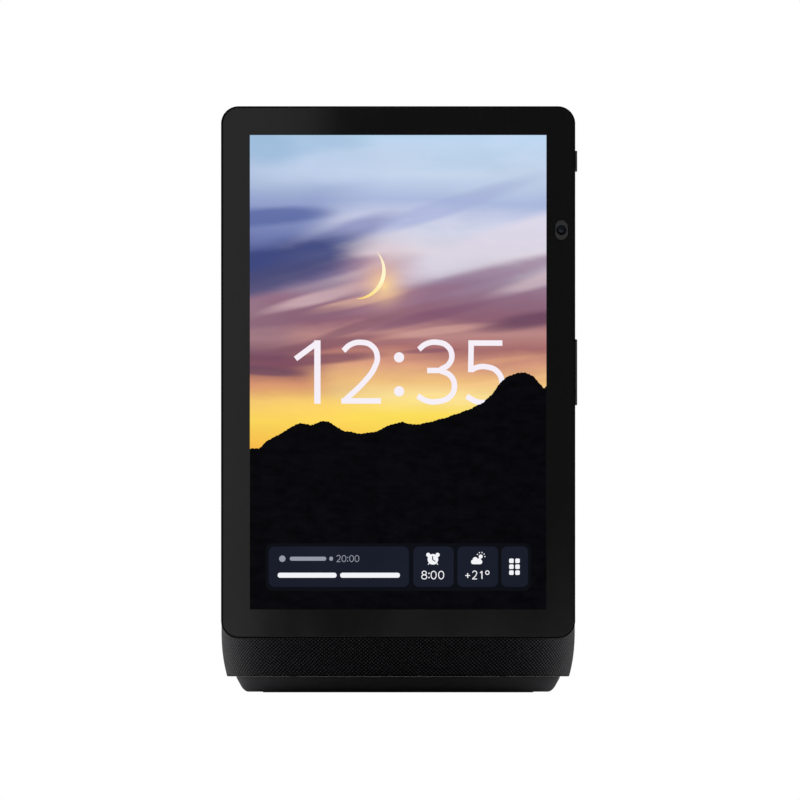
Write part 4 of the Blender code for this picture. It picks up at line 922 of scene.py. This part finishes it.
def buildRim():
    corner, behind = head["corner"], rim["back"] + 0.5
    cutters = [
        outline(rim["seat"], -1, rim["seatDepth"], corner - rim["seat"]),
        outline(rim["opening"], -0.5, behind, 3),
        outline(rim["hollow"], rim["hollowFrom"], behind, corner - rim["hollow"]),
    ]
    for (centre, half), clear in ((keys["mute"], 0.3), (keys["rocker"], 0.6)):
        low = onFront(keys["lipIn"] - 1, keys["front"] - keys["openMore"], centre - half - clear)
        high = onFront(outside, keys["back"] + keys["openMore"], centre + half + clear)
        cutters.append(roundedBlock(low, high, 0, keys["openCorner"] * mm, 8))
        reach = half + keys["roomMore"]  # room for the key's lip
        low = (keys["lipIn"] - 1, keys["front"] - keys["roomFront"], centre - reach)
        cutters.append(headBlock(low, (keys["lipOut"] + 0.7, behind, centre + reach)))
    bay, slot, dish = shutter["bay"], shutter["slot"], shutter["dish"]
    lowZ, highZ = shutter["z"] - shutter["travel"], shutter["z"]
    (bayLow, bayHigh), (slotLow, slotHigh), (dishLow, dishHigh) = (
        (lowZ - cut["more"], highZ + cut["more"]) for cut in (bay, slot, dish)
    )
    cutters.append(headBlock((bay["inside"], bay["front"], bayLow), (shutter["wall"], behind, bayHigh)))
    low = (shutter["wall"] - 1, slot["front"], slotLow)
    cutters.append(headBlock(low, (outside, slot["back"], slotHigh)))
    low, high = onFront(dish["inside"], dish["front"], dishLow), onFront(outside, dish["back"], dishHigh)
    cutters.append(roundedBlock(low, high, 0, dish["corner"] * mm, 8))
    for x in ports["across"]:
        low, high = (onFront(x, ports["depth"], ports[end]) for end in ("low", "high"))
        cutters.append(rod(ports["radius"] * mm, low, high, 24))
    mesh = combined(outline(0, rim["front"], rim["back"], corner), cutters)
    coat = grained("rimPlastic", tone(19, 19, 20), 0.5, 0.22, 0.02, 0.05, 16, 0.12)
    newPiece("headRim", mesh, "display", "black_plastic", "head_frame", rim["edge"], 30, coat)


def buildRear():
    shell, inner = (
        outline(margin, front, rear["back"] - margin, head["corner"] - margin, rear["edge"] - margin)
        for margin, front in ((0, rear["front"]), (rear["wall"], rear["cutFrom"]))
    )
    hole = rod(rear["holeRadius"] * mm, onFront(0, 13, 0), onFront(0, 22, 0), 128)
    mesh = combined(shell, [inner, hole])
    newPiece("headBack", mesh, "display", "black_plastic", "head_rear_cover", 0.15, 40)


def buildKeys():
    for nodeName, name, bodyName, (centre, half) in (
        ("mute_button", "muteKey", "mute_key", keys["mute"]),
        ("volume_rocker", "volumeKey", "volume_key", keys["rocker"]),
    ):
        low = onFront(keys["lipOut"] - 0.5, keys["front"], centre - half)
        high = onFront(head["halfWidth"] + keys["proud"], keys["back"], centre + half)
        mesh = roundedBlock(low, high, 0, keys["corner"] * mm, 10, highRim=keys["soft"] * mm)
        reach = half + keys["lipMore"]
        low = (keys["lipIn"], keys["front"] - 1, centre - reach)
        lip = headBlock(low, (keys["lipOut"], keys["back"] + 1, centre + reach))
        mesh = combined(mesh, [lip], "UNION")
        newPiece(name, mesh, bodyName, "key_plastic", nodeName, angle=30)


def buildCamera():
    x, z = camera["x"], camera["z"]
    window = rod(camera["windowRadius"] * mm, onFront(x, -1, z), onFront(x, 3, z), 96)
    mesh = combined(pill(0, camera["trimFront"], camera["trimBack"], 20), [window])
    newPiece("cameraTrim", mesh, "display", "trim_plastic", "camera_trim", 0.12, 40)
    profile = [(0, 0.5), (0.7, 0.46), (1.3, 0.35), (1.8, 0.15), (2.1, -0.05), (2.35, -0.2)]
    edge = camera["lensRadius"]
    profile += [(edge, -0.35), (edge, -1), (0, -1)]
    mesh = spun(profile, onFront(x, camera["lensFront"], z), (0, -1, 0))
    newPiece("cameraLens", mesh, "display", "lens_glass", "camera_lens", angle=40)
    softened("cameraModule", "camera_module", "display", "chip_plastic", 0.25)
    softened("shutterSlider", "shutter_slider", "shutter", "trim_plastic", 0.06, 40)


buildGlass()
buildRim()
buildRear()
buildKeys()
buildCamera()
print("head made")


# body: sleeve, cap, foot; a flat size is the cloth's cut width and height in metres
sleeve = dict(thick=0.9, hem=0.42, outer=30, inner=6, mapSteps=2000, flat=(0.4605, 0.1145))
pocket = dict(halfWidth=8.3, front=43, back=60, low=12.2, high=24.8, corner=4.3)  # room for the socket


def sleeveLevels():
    bottom, top, hem, thick = body["bottom"], body["top"], sleeve["hem"] * mm, sleeve["thick"] * mm
    straight = top - bottom - 2 * hem

    def rolled(edge, up):
        for turn in (math.pi * i / 6 for i in range(1, 6)):
            inset = skinInset(edge) + thick / 2 * (1 - up * math.cos(turn))
            levels.append((inset, edge - up * hem * (1 - math.sin(turn))))

    heights = [bottom + hem + straight * i / sleeve["outer"] for i in range(sleeve["outer"] + 1)]
    levels = [(skinInset(height), height) for height in heights]
    rolled(top, 1)
    heights = [top - hem - straight * i / sleeve["inner"] for i in range(sleeve["inner"] + 1)]
    levels += [(skinInset(height) + thick, height) for height in heights]
    rolled(bottom, -1)
    return levels


def mapSleeve(mesh):  # the map runs round the waist and up the skin, in metres
    count = sleeve["mapSteps"]
    spots = [ovalPoint(2 * math.pi * i / count - math.pi, 0, 0) for i in range(count + 1)]
    lengths = [0.0]
    for a, b in zip(spots, spots[1:]):
        lengths.append(lengths[-1] + (b - a).length)
    total = lengths[-1]
    pitch = weave["across"] * mm
    fit = round(total / pitch / 2) * pitch * 2 / total  # whole repeats, so that the ends meet
    print(f"sleeve round the waist: {total:.4f} m")

    def around(vert):
        x, y = vert.co.x / body["halfWidth"], vert.co.y / body["halfDepth"]
        power = body["roundness"] / 2
        angle = math.atan2(math.copysign(abs(y) ** power, y), math.copysign(abs(x) ** power, x))
        place = (angle + math.pi) / (2 * math.pi) * count
        low = min(int(place), count - 1)
        return (lengths[low] + (lengths[low + 1] - lengths[low]) * (place - low)) * fit

    uv = mesh.loops.layers.uv.new("sleeveMap")
    for face in mesh.faces:
        spots = [around(loop.vert) for loop in face.loops]
        if max(spots) - min(spots) > total / 2:
            spots = [s + total * fit if s < total / 2 else s for s in spots]
        for loop, spot in zip(face.loops, spots):
            loop[uv].uv = (spot, loop.vert.co.z)


def buildSleeve():
    mesh = barrel(sleeveLevels(), ring=True)
    mapSleeve(mesh)
    low = (-pocket["halfWidth"] * mm, pocket["front"] * mm, pocket["low"] * mm)
    high = (pocket["halfWidth"] * mm, pocket["back"] * mm, pocket["high"] * mm)
    mesh = combined(mesh, [roundedBlock(low, high, 1, pocket["corner"] * mm, 12)])
    piece = newPiece("fabricSleeve", mesh, "base", "speaker_fabric", "fabric_cover", angle=60)


cap = dict(
    rim=121.04, top=134.0, edgeIn=3.6, flatIn=13.6, wall=2.0, steps=12,
    slotX=24.5, slotY=12.0, slotCorner=5.0,
)


def capShape(wall, below):
    rise, reach = cap["top"] - cap["rim"], cap["flatIn"] - cap["edgeIn"]
    levels = [((cap["edgeIn"] + wall) * mm, (cap["rim"] - below) * mm)] if below else []
    for i in range(cap["steps"] + 1):
        turn = math.pi / 2 * i / cap["steps"]
        levels.append((
            (cap["edgeIn"] + wall + reach * (1 - math.cos(turn))) * mm,
            (cap["rim"] + (rise - wall) * math.sin(turn)) * mm,
        ))
    return barrel(levels)


def buildCap():
    low = (-cap["slotX"] * mm, tilt["y"] - cap["slotY"] * mm, (cap["rim"] - 2) * mm)
    high = (cap["slotX"] * mm, tilt["y"] + cap["slotY"] * mm, (cap["top"] + 6) * mm)
    slot = roundedBlock(low, high, 2, cap["slotCorner"] * mm, 12)
    mesh = combined(capShape(0, 0), [capShape(cap["wall"], 2), slot])
    newPiece("topCap", mesh, "base", "black_plastic", "top_cap", 0.3, 40)


foot = dict(
    # insets and heights, from the underside to the rim
    outline=[(12.3, 0.3), (11.6, 0.45), (10.9, 0.8), (10.2, 1.35), (9.55, 2.05), (9.0, 2.85), (8.5, 3.75),
             (7.95, 4.75), (7.4, 5.75), (6.95, 6.6), (6.85, 6.95), (6.82, 7.29)],
    padIn=18.8, padTop=1.5, padGap=0.4, recessTop=1.9, pocketIn=14.8, pocketFloor=4.0,
    padEdge=[(0.5, 0.0), (0.25, 0.06), (0.07, 0.22), (0.0, 0.45)],
    screwX=48, screwBores=((3.2, 3.8, 32), (1.8, 6, 24)),  # radius, top, sides
)


def levelBarrel(levels):
    return barrel([(inset * mm, height * mm) for inset, height in levels])


def buildFoot():
    recessIn, pocketIn = foot["padIn"] - foot["padGap"], foot["pocketIn"]
    cutters = [
        levelBarrel([(recessIn, -1), (recessIn, foot["recessTop"])]),
        levelBarrel([(pocketIn, foot["pocketFloor"]), (pocketIn, 9)]),
    ]
    for x in (-foot["screwX"] * mm, foot["screwX"] * mm):
        for radius, top, sides in foot["screwBores"]:
            cutters.append(rod(radius * mm, (x, 0, 1 * mm), (x, 0, top * mm), sides))
    mesh = combined(levelBarrel(foot["outline"]), cutters)
    # painted light: the foot's black plastic gets a paler tone that lifts its shaded front
    coat = grained("footPlasticLit", tone(74, 73, 76), 0.5, 0.22, 0.02, 0.05, 16, 0.06)
    newPiece("footShell", mesh, "base", "black_plastic", "foot", angle=40, coat=coat)
    levels = [(foot["padIn"] + inset, height) for inset, height in foot["padEdge"]]
    mesh = levelBarrel(levels + [(foot["padIn"], foot["padTop"])])
    newPiece("footPad", mesh, "base", "foot_rubber", "foot_pad", angle=40)


neck = dict(
    low=(-31, -47, 120.7), high=(31, -13, 124.7), corner=6, postLow=122.7, earInner=16.4, earOuter=23.4,
    earRadius=10.0, pinRadius=3.0, pinHalf=22.6, clear=0.35, edge=0.45, leadY=-41.2, leadBore=3.0,
    screwX=27, screwsY=(-41, -19), screwBore=1.8, boreLow=118, boreHigh=126,
)
washer = dict(inner=15.35, outer=16.05, radius=8.4, edge=0.15)


def acrossRod(radius, low, high, sides=96, softRim=0.0):  # on the tilt pin's axis
    start, end = ((x * mm, tilt["y"], tilt["z"]) for x in (low, high))
    return rod(radius * mm, start, end, sides, softRim * mm)


def neckBore(radius, x, y, sides):
    low, high = ((x * mm, y * mm, neck[end] * mm) for end in ("boreLow", "boreHigh"))
    return rod(radius * mm, low, high, sides)


def buildNeck():
    low, high = (Vector(neck[key]) * mm for key in ("low", "high"))
    plate = roundedBlock(low, high, 2, neck["corner"] * mm, 10)
    others = []
    for side in (-1, 1):
        inner, outer = sorted((side * neck["earInner"], side * neck["earOuter"]))
        low = (inner * mm, tilt["y"] - neck["earRadius"] * mm, neck["postLow"] * mm)
        others.append(block(low, (outer * mm, tilt["y"] + neck["earRadius"] * mm, tilt["z"])))
        others.append(acrossRod(neck["earRadius"], inner, outer))
    mesh = combined(plate, others, "UNION")
    pinBore = neck["pinRadius"] + neck["clear"]
    cutters = [acrossRod(pinBore, -23.2, 23.2, 64), neckBore(neck["leadBore"], 0, neck["leadY"], 48)]
    for x in (-neck["screwX"], neck["screwX"]):
        for y in neck["screwsY"]:
            cutters.append(neckBore(neck["screwBore"], x, y, 24))
    mesh = combined(mesh, cutters)
    newPiece("neckBracket", mesh, "base", "painted_metal", "neck", neck["edge"], 40)
    mesh = acrossRod(neck["pinRadius"], -neck["pinHalf"], neck["pinHalf"], 64, 0.5)
    newPiece("tiltPin", mesh, "base", "steel", "tilt_pin")
    for name, word, side in (("leftTiltWasher", "left", -1), ("rightTiltWasher", "right", 1)):
        low, high = sorted((side * washer["inner"], side * washer["outer"]))
        disc = acrossRod(washer["radius"], low, high, 80, washer["edge"])
        mesh = combined(disc, [acrossRod(pinBore, -20, 20, 64)])
        newPiece(name, mesh, "base", "washer_plastic", f"{word}_tilt_washer")


hub = dict(
    radius=26.0, flangeFront=19.4, flangeBack=24.0, shoulder=15.6, shoulderFront=16.2, stub=12.0,
    stubFront=9.6, bore=7.0, lugInner=8.6, lugOuter=15.0, lugRadius=9.4, lugFront=22, pinBore=3.35, edge=0.4,
)


def hubDisc(radius, front, back, sides=128):
    return rod(radius * mm, onFront(0, front, 0), onFront(0, back, 0), sides)


def buildHub():
    others = [
        hubDisc(hub["shoulder"], hub["shoulderFront"], 23),
        hubDisc(hub["stub"], hub["stubFront"], 22),
    ]
    for side in (-1, 1):
        inner, outer = sorted((side * hub["lugInner"], side * hub["lugOuter"]))
        low = (inner * mm, (head["front"] + hub["lugFront"]) * mm, tilt["z"] - hub["lugRadius"] * mm)
        others.append(block(low, (outer * mm, tilt["y"], tilt["z"] + hub["lugRadius"] * mm)))
        others.append(acrossRod(hub["lugRadius"], inner, outer))
    mesh = combined(hubDisc(hub["radius"], hub["flangeFront"], hub["flangeBack"]), others, "UNION")
    mesh = combined(mesh, [hubDisc(hub["bore"], 9, 25, 64), acrossRod(hub["pinBore"], -15.6, 15.6, 64)])
    newPiece("swivelHub", mesh, "tilt_hub", "painted_metal", "swivel_hub", hub["edge"], 40)


socket = dict(
    halfWidth=8.0, halfHeight=6.0, corner=4.0, front=45.5, back=55.0, bore=5.3, z=18.5, jackFront=42,
    # half a section through the jack: radius and distance back
    jack=[(0, 7), (0.6, 6.9), (1, 6.5), (1, 2), (3.2, 2), (3.2, 11.9), (3.6, 12.4), (4.6, 12.4),
          (4.9, 12.1), (4.9, 0), (0, 0)],
)


def buildSocket():
    low = Vector((-socket["halfWidth"], socket["front"], socket["z"] - socket["halfHeight"])) * mm
    high = Vector((socket["halfWidth"], socket["back"], socket["z"] + socket["halfHeight"])) * mm
    mesh = roundedBlock(low, high, 1, socket["corner"] * mm, 14, highRim=0.7 * mm)
    height = socket["z"] * mm
    mesh = combined(mesh, [rod(socket["bore"] * mm, (0, 44 * mm, height), (0, 57 * mm, height), 96)])
    newPiece("socketBezel", mesh, "base", "black_plastic", "jack_bezel", 0.25, 40)
    mesh = spun(socket["jack"], (0, socket["jackFront"] * mm, height), (0, 1, 0))
    newPiece("powerJack", mesh, "base", "steel", "power_jack", angle=40)


# the lead up the neck and forward through the hub: distances ahead of the foot's middle, and heights
lead = dict(
    radius=1.8, route=[(28.2, 106), (38.2, 112), (41.2, 119), (41.2, 128), (41.2, 134), (41.3, 138),
                       (42, 141.4), (45.2, 145), (50.7, 146.4), (60, 146.4), (67, 146.4), (71.8, 146.4)],
)


def buildLead():  # one lead in place of neck_cable and hub_cable, turning forward at the tilt axis's height
    points = [(0, -ahead * mm, height * mm) for ahead, height in lead["route"]]
    data = curveMesh("hubLead", [(True, points)], lead["radius"] * mm, 4, 8)
    data.materials.clear()
    data.materials.append(finishes["cable_sheath"])
    data.shade_smooth()
    piece = shown("hubLead", data)
    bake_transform(piece)
    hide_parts("neck_cable", "hub_cable")


buildSleeve()
buildCap()
buildFoot()
buildNeck()
buildHub()
buildSocket()
buildLead()
print("body made")


# floor, light and camera, in metres
studio = dict(
    floor=4.4, floorTone=0.82, fadeFrom=0.45, fadeTo=1.5, front=0.1, around=0.5,
    lights=[  # name, place, target, width, height, power, roll in degrees
        ("bezelBox", (-0.22, -1.1, 0.15), (-0.22, 0, 0.15), 0.34, 0.7, 0.31, -6.5),
        ("topBox", (-0.25, 0.2, 1.2), (0, 0, 0.12), 0.9, 0.9, 6, 0),
        ("leftBox", (-1.05, 0.35, 0.35), (0, 0, 0.08), 0.5, 0.9, 6, 0),
        ("rightBox", (1.05, 0.3, 0.35), (0, 0, 0.08), 0.5, 0.9, 6, 0),
    ],
)
view = dict(across=0.85 * mm, away=2, height=133.7 * mm, scale=0.36585, near=0.01, far=50)
white, black = (1, 1, 1, 1), (0, 0, 0, 1)


def buildFloor():  # pale paper that turns white far from the object
    mesh = bmesh.new()
    bmesh.ops.create_grid(mesh, x_segments=1, y_segments=1, size=studio["floor"] / 2)
    floor = holder(mesh, "studioFloor")
    paper = (studio["floorTone"],) * 3
    coat, shader, place = coatBase("studioPaper", paper, 0.9)
    join(coat, spread(coat, noise(coat, place, 3, 3), 0.86, 0.94), shader, "Roughness")
    far = node(coat, "ShaderNodeVectorMath", {0: place}, operation="LENGTH").outputs["Value"]
    fade = spread(coat, far, 0.0, 1.0, studio["fadeFrom"], studio["fadeTo"], "SMOOTHSTEP")
    shader.inputs["Emission Color"].default_value = white
    join(coat, fade, shader, "Emission Strength")
    join(coat, mixTones(coat, fade, (*paper, 1), black), shader, "Base Color")
    floor.data.materials.append(coat)


def buildWorld():  # white behind the object; its own light is dark in front, pale at the sides and behind
    world = bpy.data.worlds.new("studioWorld")
    bpy.context.scene.world = world
    world.use_nodes = True
    world.node_tree.nodes.clear()
    where = node(world, "ShaderNodeTexCoord").outputs["Generated"]
    split = node(world, "ShaderNodeSeparateXYZ", {0: where})
    fade = spread(world, split.outputs[1], studio["front"], studio["around"], -0.75, 0.5, "SMOOTHSTEP")
    paper = node(world, "ShaderNodeBackground", {0: white, 1: 1.0})
    room = node(world, "ShaderNodeBackground", {1: fade})
    seen = node(world, "ShaderNodeLightPath").outputs["Is Camera Ray"]
    mix = node(world, "ShaderNodeMixShader", {0: seen, 1: room, 2: paper})
    node(world, "ShaderNodeOutputWorld", {0: mix})


def buildLights():
    for name, place, target, width, height, power, roll in studio["lights"]:
        light = bpy.data.lights.new(name, "AREA")
        light.shape, light.size, light.size_y, light.energy = "RECTANGLE", width, height, power
        lamp = shown(name, light)
        look = (Vector(target) - Vector(place)).to_track_quat("-Z", "Y").to_matrix().to_4x4()
        lamp.matrix_world = Matrix.Translation(place) @ look @ Matrix.Rotation(math.radians(roll), 4, "Z")
        lamp.visible_camera = False


def buildView():
    data = bpy.data.cameras.new("viewCamera")
    data.type, data.ortho_scale = "ORTHO", view["scale"]
    data.clip_start, data.clip_end = view["near"], view["far"]
    eye = shown("viewCamera", data)
    eye.location = (view["across"], -view["away"], view["height"])
    eye.rotation_euler = (math.pi / 2, 0, 0)
    scene = bpy.context.scene
    scene.camera = eye
    scene.view_settings.view_transform, scene.view_settings.look = "Standard", "None"


buildFloor()
buildWorld()
buildLights()
buildView()
print("studio made")
